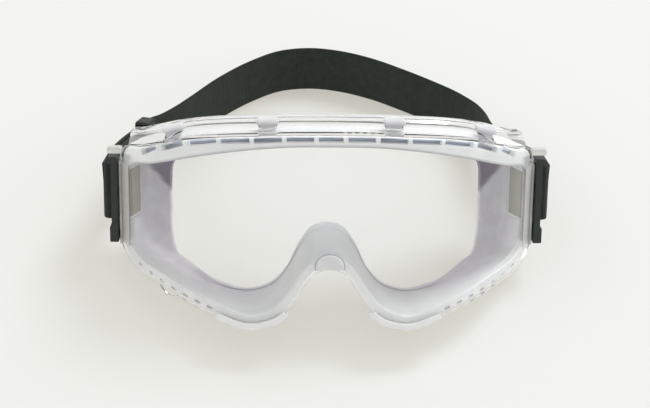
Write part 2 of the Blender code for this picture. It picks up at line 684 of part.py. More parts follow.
def make_strap():
    """Webbing folded round both rods."""
    line = strap_line()
    rows = [[], []]
    for i, p in enumerate(line):
        along = (line[min(i + 1, len(line) - 1)] - line[max(i - 1, 0)]).normalized()
        up = strap_up(p, along)
        for row, share in zip(rows, (-0.5, 0.5)):
            row.append(to_upright(p + up * STRAP_WIDE * share))
    thick_sheet("strap", "webbing", rows, STRAP_THICK, 0)


def on_strap(piece, here, station, lift):
    """Lays a piece on the webbing: its X across the webbing, its Y along it, its Z towards the inside."""
    here = Vector(here)
    along = (Vector(STRAP_ROUTE[station + 1]) - Vector(STRAP_ROUTE[station - 1])).normalized()
    up = strap_up(here, along)
    inward = inward_at(here, along)
    across = up if up.cross(along).dot(inward) > 0 else -up
    turned = Matrix([to_upright(v) for v in (across, along, inward)]).transposed().to_4x4()
    piece.matrix_local = Matrix.Translation(to_upright(here + inward * lift) * MM) @ turned


def make_slider():
    """Adjuster that both layers of the webbing pass through, one on each side of its middle bar."""
    slider = box("strap_slider", "clip_plastic", (0, 0, 0), SLIDER_FRAME)
    window = box("slider_window", "clip_plastic", (0, 0, 0), SLIDER_WINDOW)
    bar = box("slider_bar", "clip_plastic", (0, 0, 0), SLIDER_BAR)
    for piece in (slider, window, bar):
        on_strap(piece, SLIDER_AT, 4, LAYERS_LEFT / 2)
    combine(slider, "DIFFERENCE", window)
    combine(slider, "UNION", bar)


def make_bar_tack():
    """Block of dense stitches that holds the folded end on the right."""
    on_strap(box("bar_tack", "thread", (0, 0, 0), BAR_TACK_SIZE), BAR_TACK_AT, -4, -BAR_TACK_LIFT)


def main():
    make_lens()
    make_lens_tabs()
    make_front_rim()
    make_face_skirt()
    make_side_screens()
    make_top_baffle()
    make_cheek_channels()
    make_nose_pad()
    for side, name in SIDES:
        make_clip(side, name)
        make_stud(side, name)
    make_strap()
    make_slider()
    make_bar_tack()
    LEANING.rotation_euler.x = -math.radians(LEAN_BACK)
    LEANING.location = Vector((0, -FOOTPRINT_MIDDLE, -TABLE)) * MM


clear_scene()
SIDES = ((-1, "left"), (1, "right"))
PARTS = new_collection("safety_goggles")
HELPERS = new_collection("cutters")
HELPERS.hide_render = True
LEANING = bpy.data.objects.new("leaning", None)
PARTS.objects.link(LEANING)
main()
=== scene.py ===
"""Looks for the safety goggles: clear moulded lens, soft milky body, woven headband, on a pale table.

Shapes are made in the goggle's own upright frame, in millimetres: X across the face, Y from the lens back
towards the face, Z up, origin on the front of the lens. settle_in() leans each one back, in metres.
"""

from math import atan, copysign, cos, exp, hypot, pi, prod, radians, sin, sqrt

import bmesh
import bpy
from mathutils import Matrix, Vector


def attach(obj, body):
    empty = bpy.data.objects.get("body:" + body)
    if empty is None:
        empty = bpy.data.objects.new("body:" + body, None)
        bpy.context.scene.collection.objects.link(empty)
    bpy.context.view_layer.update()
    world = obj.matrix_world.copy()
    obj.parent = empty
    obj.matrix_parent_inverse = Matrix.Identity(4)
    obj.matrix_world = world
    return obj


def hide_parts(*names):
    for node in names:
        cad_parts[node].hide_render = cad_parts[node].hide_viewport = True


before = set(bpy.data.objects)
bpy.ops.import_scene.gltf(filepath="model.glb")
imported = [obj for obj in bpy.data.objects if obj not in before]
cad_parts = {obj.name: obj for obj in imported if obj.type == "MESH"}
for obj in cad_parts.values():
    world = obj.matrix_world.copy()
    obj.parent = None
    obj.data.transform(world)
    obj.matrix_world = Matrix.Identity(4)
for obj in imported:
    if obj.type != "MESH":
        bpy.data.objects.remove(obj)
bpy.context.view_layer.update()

# How the goggle stands, as in the CAD.
LEAN = radians(26.0)
TABLE = -58.0
FOOTPRINT_MIDDLE = 75.8
LEANING = (Matrix.Translation((0, -FOOTPRINT_MIDDLE * 0.001, -TABLE * 0.001))
           @ Matrix.Rotation(-LEAN, 4, "X") @ Matrix.Scale(0.001, 4))

# The camera and its picture's framing.
CAMERA_TURNS = (-2.63, 42.0, 1.97)  # azimuth, elevation and roll, in degrees
CAMERA_DISTANCE = 0.672
CAMERA_LENS = 90.0
CAMERA_SHIFT = (-0.0082, 0.0369)

# Light from the world, at the horizon and overhead, and from the one lamp.
SKY = (0.8, 0.86)
SKY_COLOUR = (1.0, 0.993, 0.965, 1)
KEY_AT = (1.2, 0.95, 2.3)
KEY_TARGET = (0, -0.02, 0.03)
KEY_SIZE = 1.1
KEY_POWER = 27.0
KEY_COLOUR = (0.975, 0.987, 1.0)
TABLE_HALF = 3.0

# The lens.
WRAP_DEPTH = 36.5
WRAP_HALF = 85.4
LENS_HALF = 91.2
LENS_WALL = 2.0
LENS_STRIP = 1.6  # width of the squares that its curve is cut into
BRIM_HALF = 86.0
BRIM_DEPTH = 19.5
BRIM_END_DEPTH = 16.5
BRIM_CHAMFER = 1.3
BRIM_RISE = 3.7
BRIM_START = 0.8
BRIM_SINK = 0.2
BRIM_LIP = 1.1  # how far the brim's back edge hangs below its wall
BRIM_RIDGE = 0.35  # height of the raised line along it
BRIM_BEAD = 0.2  # height of its raised back edge
LUG_Y = 51.0
LUG_Z = -2.0
LUG_SIZE = (11.6, 37.0)
EDGE_BAND_WIDE = 4.8  # the textured strip down the window's upright edge
EDGE_BAND_ENDS = (-19.5, 16.5)
EDGE_BAND_PROUD = 0.1
EDGE_BAND_DEEP = 1.0
EDGE_BAND_STEPS = 6
CATCH_AT = (92.8, 46.6, 21.9)
CATCH_SIZE = (6.6, 5.0, 3.0)
FINGER_TAB_X = -67.1
FINGER_TAB_RADIUS = 7.8
FINGER_TAB_SHOWS = 1.9
FINGER_TAB_WALL = 1.4
FINGER_TAB_KEEPS = 1.4  # how far up into the lens the tab reaches
FINGER_TAB_TURN = 20.0  # slope of the lens's edge there, in degrees

# The soft body.
BODY_WALL = 2.0
FACE_DEPTH = 43.0
TEMPLE_DEPTH = 72.0
LIP_FORWARD = 1.2
LIP_TEMPLE = 5.0
TURN_FROM = 0.8  # share of the wall's depth after which it turns in towards the face opening
RIM_THICK = 3.0
RIM_BACK = 2.4
RIM_ROUND = 0.5
RIM_LIP = 1.4  # height of the painted shade band under the vents
RIM_LIP_ABOVE = 10.0  # it runs along the rim above here only
VENT_DIVIDERS = (6.05, 19.2, 32.4, 45.8, 59.1, 70.3)
VENT_END = 80.1
VENT_BELOW = 3.7
VENT_TALL = 2.3
DIVIDER_WIDE = 2.0
LOWER_VENTS = 7
LOWER_VENT_FROM = (49.5, -36.9)
LOWER_VENT_TO = (80.0, -25.9)
LOWER_VENT_TURN = 21.0
LOWER_VENT_SIZE = (2.6, 1.2)
BAFFLE_STATIONS = 3.4  # how many of the outlines' stations it reaches to each side
BAFFLE_FOOT = 0.4
BAFFLE_TOP = 3.6
BAFFLE_WALL = 1.2
BAFFLE_GAP = 0.3  # behind the rim
STUD_ROOM_FROM = 87.6
STUD_ROOM_RADIUS = 2.6
SCREEN_AT = (85.2, 58.6, 0.5)
SCREEN_SIZE = (1.2, 14.0, 24.0)
SCREEN_TURN = 18.0
SCREEN_PANEL = (0.6, 13.0, 23.0)
SCREEN_ROOM = 0.6
SCREEN_BORDER = 1.2
CORNER_FROM = 83.0  # the painted shade in the body's upper corners lies above a line down from here
CORNER_HEIGHT = 12.8
CORNER_SLOPE = 1.1
CORNER_LIMITS = (46.0, 50.0)  # they begin this far to the side and back
CORNER_FADES = (2.5, 14.0, 6.0)  # over what widths, at the line and the two limits
PALE_NOSE = (8.0, 26.0)  # the body is pale to here beside the nose, and darkens over this width
WRAP_FOLLOWED = 0.6  # how much of the lens's wrap the body's shading follows
SIDE_WEIGHT = 0.7  # of a face's sideways slant, in telling outside from inside
WALL_ENDS = 30.0  # the skirt in front of here is plain outer wall
CHANNEL_SECTION = (
    (-1.6, -1.5), (0.1, -1.6), (0.9, -1.4), (1.3, -0.8), (1.35, 1.8), (1.3, 5.2), (0.35, 5.2), (0.35, 2.0),
    (0.35, -0.35), (-1.6, -0.35))
CHANNEL_ENDS = (47.5, 17.5)
NOSE_PAD = (11.8, 6.6)
NOSE_PAD_Y = -2.75
NOSE_PAD_DROP = -0.8
NOSE_PAD_TURN = 0.6  # half of the arc that its outline turns through, of a half turn
NOSE_SEAT = 1.08  # width of the pad's seat as a share of the pad's
NOSE_SEAT_SHADE = (0.1, 0.25)  # painted shade on the seat, from here behind the pad, over this depth
NOSE_PAD_SECTION = ((NOSE_SEAT, 0.75), (NOSE_SEAT, 0.45), (1.02, 0.4), (1.0, 0.35), (1.0, -0.2),
                    (0.96, -0.55), (0.88, -0.72), (0.5, -0.8), (0.1, -0.82))  # (share of its size, back)
TAB_XS = (-65.3, -26.0, 26.0, 65.3)
TAB_BACK = 7.6
TAB_ROLL = 0.5  # how much of the brim's slope the tabs follow
TAB_HEAD = (9.2, 6.0, 2.8)
TAB_NECK = (6.6, 3.0, 4.2)
TAB_SLOT = (7.6, 4.6, 12.0)
TAB_GAP = 0.45  # between the brim and the tab's head
TAB_NECK_TOP = 1.0

# The clips.
CLIP_X = 93.0
CLIP_FRONT = 42.95
CLIP_BAR = (3.0, 4.5)
CLIP_HALF_TALL = 19.2
CLIP_OUT = 95.4
CLIP_REAR = 52.5
CLIP_ARM_TALL = 3.2
CLIP_FOOT_TALL = 7.0
ROD_X = 94.4
ROD_Y = 51.5
ROD_RADIUS = 0.95
PIVOT_Y = 50.0
PIVOT_Z = -16.7
SOCKET_FROM = LENS_HALF - 5
SOCKET_RADIUS = 2.5
BALL_RADIUS = 2.1
NECK_RADIUS = 1.2

# The headband. The route's points are the CAD's, leaning.
STRAP_WIDE = 25.4
STRAP_THICK = 1.4
STRAP_LIFT = 2.8
STRAP_FLAT = TABLE + STRAP_WIDE / 2 + 0.3
UPRIGHT_OVER = (50.0, 80.0)  # from where, and over what length, the webbing turns upright
LOOP_X = 95.1
LOOP_RADIUS = 2.75
FOLD_LEFT = 64.0
FOLD_RIGHT = 40.0
LAYERS_LEFT = 3.0
LAYERS_RIGHT = 1.9
FOLD_CLOSES = 7.0
STRAP_BEHIND = (
    (-63.5, 131.2), (-50, 147), (-35.4, 160), (-20.4, 169), (-5, 171.4), (10.2, 168.9), (25.2, 163),
    (40, 154.3), (53.8, 145))
STRAP_ROUTE = (
    (-96.6, 56.5, -22.6), (-94.9, 66, -25.6), (-92.4, 75.5, -29.0), (-89.4, 85, -32.6),
    (-86.4, 94.5, -36.2), (-83.4, 104, -39.8), (-78.0, 111.8, -42.6), (-71.0, 121, -44.2),
    *((x, y, STRAP_FLAT) for x, y in STRAP_BEHIND), (67.3, 133.8, -44.6), (74.4, 124.3, -43.8),
    (77.6, 115.5, -42.6), (79.2, 106, -41.0), (81.6, 96, -38.8), (85.6, 86.5, -36.0), (90.2, 77.2, -32.4),
    (94.2, 68.0, -28.2), (96.8, 57.5, -23.2))
RIB_PITCH = 0.9  # the webbing's crosswise ribs
RIB_HEIGHT = 0.06
ROWS_PER_RIB = 4
SELVEDGE = 1.6
SELVEDGE_RIB = 0.6  # height of the ribs on it, as a share of the others'
WEBBING_ROUND = 0.7
THREAD_PITCH = 0.55
TWILL_PITCH = 0.8
SLIDER_AT = (-85.8, 96.4, -36.92)
SLIDER_STATION = 4
SLIDER_FRAME = (28.8, 9.6, 7.0)
SLIDER_WINDOW = (26.4, 20.0, 5.8)
SLIDER_BAR = (27.6, 2.4, 0.7)
BAR_TACK_AT = (87.2, 83.2, -34.74)
BAR_TACK_STATION = -4
BAR_TACK_SIZE = (21.0, 3.0, 0.7)
BAR_TACK_LIFT = 1.15
BAR_TACK_ZIGS = 26
THREAD_SQUARE_TO = Vector((0.13, 0.21, 1))  # a direction that the thread never takes

# Half outlines as (x, z), from the top centre round to the nose, all with the same stations.
LENS_EDGE = (
    (0, 40.6), (24, 40.2), (61.5, 35.8), (78.7, 28.8), (88.5, 24.0), (91.2, 16.0), (91.2, -3.0),
    (91.2, -19.0), (87.5, -25.0), (71.0, -31.1), (47.5, -39.6), (33.0, -43.6), (21.0, -40.0), (14.5, -32.6),
    (9.6, -24.2), (5.2, -19.6), (0, -18.4))
RIM_EDGE = (
    (0, 38.5), (24, 38.1), (61.2, 33.7), (78.1, 27.0), (86.6, 22.4), (88.2, 15.4), (88.6, -3.0),
    (88.2, -18.4), (86.1, -24.0), (70.7, -30.3), (47.3, -38.8), (32.9, -42.7), (21.4, -39.2), (15.2, -32.1),
    (10.3, -23.8), (5.6, -18.9), (0, -17.6))
BAND_EDGE = (
    (0, 33.6), (24, 33.0), (58, 27.0), (75, 20.6), (83.6, 17.2), (86.0, 12.0), (86.3, -3.0), (85.8, -17.0),
    (83.0, -20.7), (68.8, -26.0), (46.0, -35.2), (32.6, -39.2), (22.9, -35.4), (16.9, -28.9), (11.7, -20.8),
    (6.4, -15.6), (0, -14.2))
FLANGE_EDGE = (
    (0, 37.0), (24, 36.6), (60, 33.0), (74, 28.0), (80.0, 21.0), (81.6, 12.0), (81.8, -3.0), (81.4, -17.0),
    (79.0, -27.0), (69.5, -34.6), (48.5, -41.4), (33.0, -42.6), (21.0, -38.0), (15.0, -30.0), (10.0, -20.8),
    (5.2, -15.0), (0, -13.4))
FACE_EDGE = (
    (0, 26.0), (24, 25.6), (52, 23.2), (63.5, 18.6), (68.2, 12.0), (69.2, 4.0), (69.2, -8.0), (69.0, -20.5),
    (66.8, -29.2), (58.2, -34.0), (46.0, -37.8), (33.9, -39.6), (25.0, -36.6), (18.6, -30.4), (11.8, -17.2),
    (6.2, -10.4), (0, -8.8))
# At the same stations: how far the flange has gone to the temples' depth, and the skirt's gap behind the rim.
TEMPLE_SHARE = (0, 0.05, 0.42, 0.72, 0.90, 1.0, 1.0, 1.0, 0.86, 0.5, 0.14, 0.03, *[0] * 5)
SKIRT_ROOM = (*[2.1] * 4, 1.6, 1.1, 1.1, 1.1, 1.0, 0.6, *[0.5] * 7)
SIDE_STATION = 6  # the one at the temple
RING_STEPS = 6  # points from a station to the next
FINE_STEPS = 8
SIDES = ((-1, "left"), (1, "right"))


# Curves and outlines.

def wrap(x):
    """How far the lens front has curved back at this distance from its middle."""
    return WRAP_DEPTH * (abs(x) / WRAP_HALF) ** 4


def wrap_slope(x):
    return copysign(4 * wrap(x) / max(abs(x), 1e-6), x)


def smooth_through(points, steps):
    """Points of a smooth curve through these, with this many steps from each to the next."""
    points = [Vector(p) for p in points]
    spans = [(b - a).length for a, b in zip(points, points[1:])]
    slopes = [(points[1] - points[0]) / spans[0]]
    for i in range(1, len(points) - 1):
        before = (points[i] - points[i - 1]) / spans[i - 1]
        after = (points[i + 1] - points[i]) / spans[i]
        slopes.append((before * spans[i] + after * spans[i - 1]) / (spans[i] + spans[i - 1]))
    slopes.append((points[-1] - points[-2]) / spans[-1])
    curve = []
    for i, span in enumerate(spans):
        for step in range(steps):
            t = step / steps
            curve.append((2 * t**3 - 3 * t**2 + 1) * points[i]
                         + (t**3 - 2 * t**2 + t) * span * slopes[i]
                         + (3 * t**2 - 2 * t**3) * points[i + 1]
                         + (t**3 - t**2) * span * slopes[i + 1])
    curve.append(points[-1])
    return curve


def directions(points):
    """The way along a line at each of its points."""
    last = len(points) - 1
    return [(points[min(i + 1, last)] - points[max(i - 1, 0)]).normalized() for i in range(last + 1)]


def flat(outline):
    """An outline's (x, z) as points in the plane y = 0."""
    return [(x, 0, z) for x, z in outline]


def upper_edge(outline):
    return smooth_through(flat(outline[:SIDE_STATION]), FINE_STEPS)


def height_at(curve, x):
    """Height where a curve passes this x, its points being in order of x."""
    for a, b in zip(curve, curve[1:]):
        if a.x <= x <= b.x and b.x > a.x:
            return a.z + (b.z - a.z) * (x - a.x) / (b.x - a.x)
    return curve[-1].z


def slope_at(curve, x, reach):
    return (height_at(curve, x + reach) - height_at(curve, max(x - reach, 0))) / (2 * reach)


def ring(half, steps=RING_STEPS):
    """A closed ring from half of it, (x, y, z) from the top centre to the nose centre."""
    mirrored = [(-x, y, z) for x, y, z in half[1:3]][::-1]
    below = [(-x, y, z) for x, y, z in half[-3:-1]][::-1]
    curve = smooth_through([*mirrored, *half, *below], steps)[2 * steps:-2 * steps]
    curve[0].x = 0
    curve[-1].x = 0
    return curve + [Vector((-p.x, p.y, p.z)) for p in curve[-2:0:-1]]


def inset(outline, amount):
    """The outline's (x, z) points moved this far towards its inside."""
    moved = []
    extended = [(-outline[1][0], outline[1][1]), *outline, (-outline[-2][0], outline[-2][1])]
    for before, (x, z), after in zip(extended, outline, extended[2:]):
        along = Vector((after[0] - before[0], after[1] - before[1])).normalized()
        moved.append((x + along.y * amount, z - along.x * amount))
    return moved


def behind_front(x, z, back):
    """The point this far behind the lens front, square to its curve."""
    length = hypot(1, wrap_slope(x))
    return (x - back * wrap_slope(x) / length, wrap(x) + back / length, z)


def rim_front(outline, back=RIM_BACK):
    """A ring on the rim's front, close behind the lens."""
    return [Vector((p.x, wrap(p.x) + back * hypot(1, wrap_slope(p.x)), p.z)) for p in ring(flat(outline))]


def behind_rim(outline, deep):
    """A ring this far behind the rim's outer front edge, station by station."""
    points = ring([(x, back, z) for (x, z), back in zip(outline, deep)])
    return [Vector((p.x, p.y + edge.y, p.z)) for p, edge in zip(points, rim_front(RIM_EDGE))]


def at_face(outline, forward=0.0, temple_forward=0.0):
    """Ring points on the face side, this far in front of the flange, and further at the temples."""
    return [(x, FACE_DEPTH - forward + (TEMPLE_DEPTH - FACE_DEPTH - temple_forward) * share, z)
            for (x, z), share in zip(outline, TEMPLE_SHARE)]


def between(first, second, share):
    return [tuple(a + (b - a) * share for a, b in zip(p, q)) for p, q in zip(first, second)]


# Meshes.

def shade(obj, angle):
    """Smooth shading that leaves the large faces flat."""
    obj.data.shade_smooth()
    obj.data.set_sharp_from_angle(angle=radians(angle))
    modify(obj, "WEIGHTED_NORMAL", weight=100, keep_sharp=True)


def new_object(name, data):
    obj = bpy.data.objects.new(name, data)
    bpy.context.scene.collection.objects.link(obj)
    return obj


def from_bmesh(name, shape, turn_out=True):
    if turn_out:
        bmesh.ops.recalc_face_normals(shape, faces=shape.faces)
    mesh = bpy.data.meshes.new(name)
    shape.to_mesh(mesh)
    shape.free()
    return new_object(name, mesh)


def loft(name, rings, capped=True, looped=False, closed=True):
    """Quads between rings. Where it is looped, the last ring joins the first."""
    count = len(rings[0])
    sections = [(i, i + 1) for i in range(len(rings) - 1)]
    if looped:
        sections.append((len(rings) - 1, 0))
    around = range(count if closed else count - 1)
    faces = [(a * count + i, a * count + (i + 1) % count, b * count + (i + 1) % count, b * count + i)
             for a, b in sections for i in around]
    if capped:
        last = (len(rings) - 1) * count
        faces += [tuple(range(count)), tuple(range(last, last + count))]
    mesh = bpy.data.meshes.new(name)
    mesh.from_pydata([Vector(p) for one in rings for p in one], [], faces)
    shape = bmesh.new()
    shape.from_mesh(mesh)
    bpy.data.meshes.remove(mesh)
    return from_bmesh(name, shape)


def modify(obj, kind, **settings):
    """Puts the object's mesh through a modifier with these settings."""
    modifier = obj.modifiers.new(kind, kind)
    for name, value in settings.items():
        setattr(modifier, name, value)
    old = obj.data
    obj.data = bpy.data.meshes.new_from_object(obj.evaluated_get(bpy.context.evaluated_depsgraph_get()))
    obj.modifiers.clear()
    bpy.data.meshes.remove(old)
    return obj


def thicken(obj, thickness):
    """Gives a sheet a wall behind its faces."""
    return modify(obj, "SOLIDIFY", thickness=thickness, offset=-1, use_even_offset=True,
                  use_quality_normals=True)


def round_edges(obj, width, segments=2, angle=40):
    return modify(obj, "BEVEL", width=width, segments=segments, limit_method="ANGLE",
                  angle_limit=radians(angle), use_clamp_overlap=True)


def face_forward(obj):
    """Turns an open sheet so that its faces look to the front."""
    if sum(f.normal.y * f.area for f in obj.data.polygons) > 0:
        obj.data.flip_normals()
    return obj


def box(name, centre, size, rounding=0.0, segments=3, about_y=0.0, about_z=0.0):
    """A block with rounded edges, turned about its middle, first about Y."""
    shape = bmesh.new()
    bmesh.ops.create_cube(shape, size=1, matrix=Matrix.Diagonal((*size, 1)))
    if rounding:
        bmesh.ops.bevel(shape, geom=shape.edges, offset=rounding, segments=segments, profile=0.5,
                        affect="EDGES", clamp_overlap=True)
    turned = Matrix.Rotation(about_z, 4, "Z") @ Matrix.Rotation(about_y, 4, "Y")
    shape.transform(Matrix.Translation(centre) @ turned)
    return from_bmesh(name, shape)


def cylinder(name, start, end, radius, sides=48, rounding=0.0):
    start, end = Vector(start), Vector(end)
    shape = bmesh.new()
    bmesh.ops.create_cone(shape, segments=sides, radius1=radius, radius2=radius, depth=(end - start).length,
                          cap_ends=True)
    if rounding:
        rims = [e for e in shape.edges if abs(e.verts[0].co.z - e.verts[1].co.z) < 1e-6]
        bmesh.ops.bevel(shape, geom=rims, offset=rounding, segments=3, profile=0.5, affect="EDGES")
    turned = (end - start).to_track_quat("Z", "Y").to_matrix().to_4x4()
    shape.transform(Matrix.Translation((start + end) / 2) @ turned)
    return from_bmesh(name, shape)


def join(objs, name):
    """Several meshes as one, without joining their surfaces."""
    shape = bmesh.new()
    for obj in objs:
        shape.from_mesh(obj.data)
        bpy.data.objects.remove(obj)
    return from_bmesh(name, shape, turn_out=False)


def combine(obj, other, operation):
    modify(obj, "BOOLEAN", operation=operation, object=other)
    bpy.data.objects.remove(other)
    return obj


def cut(obj, other):
    return combine(obj, other, "DIFFERENCE")


def unite(obj, other):
    return combine(obj, other, "UNION")


def tube(name, points, radius, sides):
    """A round thread along these points."""
    points = [Vector(p) for p in points]
    turns = [2 * pi * k / sides for k in range(sides)]
    rings = []
    for p, along in zip(points, directions(points)):
        side = along.cross(THREAD_SQUARE_TO).normalized()
        up = side.cross(along)
        rings.append([p + radius * (side * cos(a) + up * sin(a)) for a in turns])
    return loft(name, rings)


def store(obj, name, values):
    """Keeps a number for each point of the mesh, for its material to read."""
    obj.data.attributes.new(name, "FLOAT", "POINT").data.foreach_set("value", values)


def settle_in(obj, name, finish, node, body="goggle", smooth=35):
    """Names a finished piece, leans it back, says what it rides on, and hides the part that it stands for."""
    obj.name = obj.data.name = name
    obj.data.transform(LEANING)
    shade(obj, smooth)
    obj.data.materials.clear()
    obj.data.materials.append(finish)
    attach(obj, body)
    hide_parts(node)


# Materials.

class Finish:
    """A node material under construction, with its Principled shader."""

    def __init__(self, name, colour, roughness, **constants):
        self.material = bpy.data.materials.new(name)
        self.material.use_nodes = True
        self.nodes = self.material.node_tree.nodes
        self.link = self.material.node_tree.links.new
        self.shader = self.nodes["Principled BSDF"]
        self.shader.inputs["Base Color"].default_value = (*colour, 1)
        self.shader.inputs["Roughness"].default_value = roughness
        for socket, value in constants.items():
            self.shader.inputs[socket.replace("_", " ")].default_value = value

    def add(self, kind, inputs=(), **settings):
        node = self.nodes.new(kind)
        for name, value in settings.items():
            setattr(node, name, value)
        for name, value in dict(inputs).items():
            node.inputs[name].default_value = value
        return node

    def feed(self, entry, value):
        """Sets a socket to a number or a colour, or links an output to it."""
        if isinstance(value, (int, float)):
            entry.default_value = value
        elif isinstance(value, tuple):
            entry.default_value = (*value, 1)
        else:
            self.link(value, entry)

    def noise(self, scale, detail):
        node = self.add("ShaderNodeTexNoise", {"Scale": scale, "Detail": detail})
        self.link(self.add("ShaderNodeTexCoord").outputs["Object"], node.inputs["Vector"])
        return node.outputs["Fac"]

    def attribute(self, name):
        return self.add("ShaderNodeAttribute", attribute_name=name).outputs["Fac"]

    def math(self, operation, first, second=0.0):
        node = self.add("ShaderNodeMath", operation=operation)
        self.feed(node.inputs[0], first)
        self.feed(node.inputs[1], second)
        return node.outputs[0]

    def ripple(self, value, pitch):
        """A sine wave with this pitch."""
        return self.math("SINE", self.math("MULTIPLY", value, 2 * pi / pitch))

    def spread(self, value, low, high, start=0.0, stop=1.0):
        """A value's range stretched onto another, clamped."""
        node = self.add("ShaderNodeMapRange",
                        {"From Min": start, "From Max": stop, "To Min": low, "To Max": high})
        self.link(value, node.inputs["Value"])
        return node.outputs["Result"]

    def mottle(self, scale, detail, low=0.0, high=1.0, start=0.3, stop=0.7):
        """Noise, its middle range stretched onto another."""
        return self.spread(self.noise(scale, detail), low, high, start, stop)

    def blend(self, share, first, second):
        """A colour between two others, each a colour or an output."""
        node = self.add("ShaderNodeMix", data_type="RGBA")
        self.link(share, node.inputs[0])
        self.feed(node.inputs[6], first)
        self.feed(node.inputs[7], second)
        return node.outputs[2]

    def paint(self, colour=None, roughness=None):
        if colour is not None:
            self.link(colour, self.shader.inputs["Base Color"])
        if roughness is not None:
            self.link(roughness, self.shader.inputs["Roughness"])

    def bump(self, height, strength, distance):
        node = self.add("ShaderNodeBump", {"Strength": strength, "Distance": distance})
        self.link(height, node.inputs["Height"])
        self.link(node.outputs["Normal"], self.shader.inputs["Normal"])


def clear_finish():
    """Polished polycarbonate. Lamps shine through it, so that it casts only a faint shadow."""
    made = Finish("clear polycarbonate", (1.0, 1.0, 1.0), 0.02, Transmission_Weight=1.0, IOR=1.5)
    made.paint(roughness=made.mottle(60, 3, 0.0, 0.045, 0.35, 0.75))
    made.bump(made.noise(18, 2), 0.03, 0.001)
    return let_lamps_through(made, (0.96, 0.965, 0.965))


def frosted_finish():
    """The same moulding where it is textured: the clips' lugs and their catches."""
    made = Finish("frosted polycarbonate", (0.84, 0.835, 0.81), 0.35, Transmission_Weight=0.45, IOR=1.45,
                  Specular_IOR_Level=0.4)
    made.paint(made.blend(made.noise(300, 4), (0.79, 0.785, 0.75), (0.88, 0.88, 0.86)),
               made.mottle(700, 3, 0.28, 0.42))
    made.bump(made.noise(3000, 2), 0.15, 0.0001)
    return let_lamps_through(made, (0.88, 0.88, 0.87))


def let_lamps_through(made, tint):
    """Makes the finish nearly clear to shadow rays."""
    through = made.add("ShaderNodeBsdfTransparent", {"Color": (*tint, 1)})
    path = made.add("ShaderNodeLightPath")
    mix = made.add("ShaderNodeMixShader")
    made.link(path.outputs["Is Shadow Ray"], mix.inputs[0])
    made.link(made.shader.outputs[0], mix.inputs[1])
    made.link(through.outputs[0], mix.inputs[2])
    made.link(mix.outputs[0], made.nodes["Material Output"].inputs["Surface"])
    return made.material


def body_finish():
    """Soft milky vinyl: bluish in front, lavender towards the flange, with painted shade at the upper
    corners.
    """
    made = Finish("soft vinyl", (0.8, 0.82, 0.86), 0.45, Subsurface_Weight=0.5, Subsurface_Scale=0.006,
                  Subsurface_Radius=(1.0, 0.95, 1.05), Specular_IOR_Level=0.35)
    depth = made.attribute("depth")
    inside = made.blend(made.spread(depth, 0, 1, 16, 40), (0.85, 0.872, 0.905), (0.64, 0.625, 0.67))
    body = made.blend(made.attribute("outside"), inside, (0.70, 0.71, 0.72))
    mottled = made.blend(made.mottle(140, 5, 0, 0.4, 0.4, 0.65), body, (0.82, 0.82, 0.835))
    # Painted shade: the upper corners darkened to a deep lavender.
    made.paint(made.blend(made.attribute("corner_shade"), mottled, (0.185, 0.15, 0.225)),
               made.mottle(320, 4, 0.34, 0.5))
    made.bump(made.noise(2600, 3), 0.1, 0.0002)
    return made.material


def rim_finish(name, dark, light):
    """The same vinyl where it is thick, between two tones, with painted shade at its lip."""
    made = Finish(name, light, 0.42, Subsurface_Weight=0.4, Subsurface_Scale=0.004,
                  Subsurface_Radius=(1.0, 0.95, 1.05), Specular_IOR_Level=0.35)
    mottled = made.blend(made.mottle(160, 5, start=0.35), dark, light)
    # Painted shade: the lip under the vents and the seat behind the nose pad are darkened.
    made.paint(made.blend(made.attribute("lip"), mottled, (0.42, 0.41, 0.46)),
               made.mottle(320, 4, 0.36, 0.5))
    made.bump(made.noise(2600, 3), 0.1, 0.0002)
    return made.material


def baffle_finish():
    made = Finish("vent baffle", (0.3, 0.36, 0.5), 0.5)
    made.paint(made.blend(made.mottle(200, 4, start=0.35), (0.29, 0.33, 0.43), (0.39, 0.43, 0.53)),
               made.mottle(500, 3, 0.4, 0.6))
    return made.material


def screen_finish():
    """Fine olive mesh, its threads running along the panel and across it."""
    made = Finish("vent screen mesh", (0.2, 0.2, 0.15), 0.7)
    setting = {"Scale": 0.36, "Distortion": 0.0}
    threads = [made.add("ShaderNodeTexWave", setting, bands_direction=way) for way in ("X", "Y")]
    for wave in threads:
        made.link(made.add("ShaderNodeUVMap", uv_map="mesh").outputs[0], wave.inputs["Vector"])
    weave = made.math("MULTIPLY", threads[0].outputs["Fac"], threads[1].outputs["Fac"])
    mottled = made.blend(made.noise(220, 4), (0.19, 0.19, 0.13), (0.27, 0.265, 0.19))
    made.paint(made.blend(weave, mottled, (0.36, 0.35, 0.25)), made.spread(weave, 0.75, 0.5))
    made.bump(weave, 0.4, 0.0002)
    return made.material


def clip_finish():
    """Dark moulded nylon with a fine satin grain, paler where edges have rubbed."""
    made = Finish("clip nylon", (0.012, 0.016, 0.014), 0.42, Specular_IOR_Level=0.3)
    worn = made.spread(made.add("ShaderNodeNewGeometry").outputs["Pointiness"], 0, 0.6, 0.52, 0.6)
    grain = made.blend(made.mottle(260, 5, start=0.35), (0.009, 0.013, 0.011), (0.016, 0.021, 0.018))
    made.paint(made.blend(worn, grain, (0.04, 0.048, 0.044)), made.mottle(700, 3, 0.34, 0.52))
    made.bump(made.noise(3200, 2), 0.12, 0.0002)
    return made.material


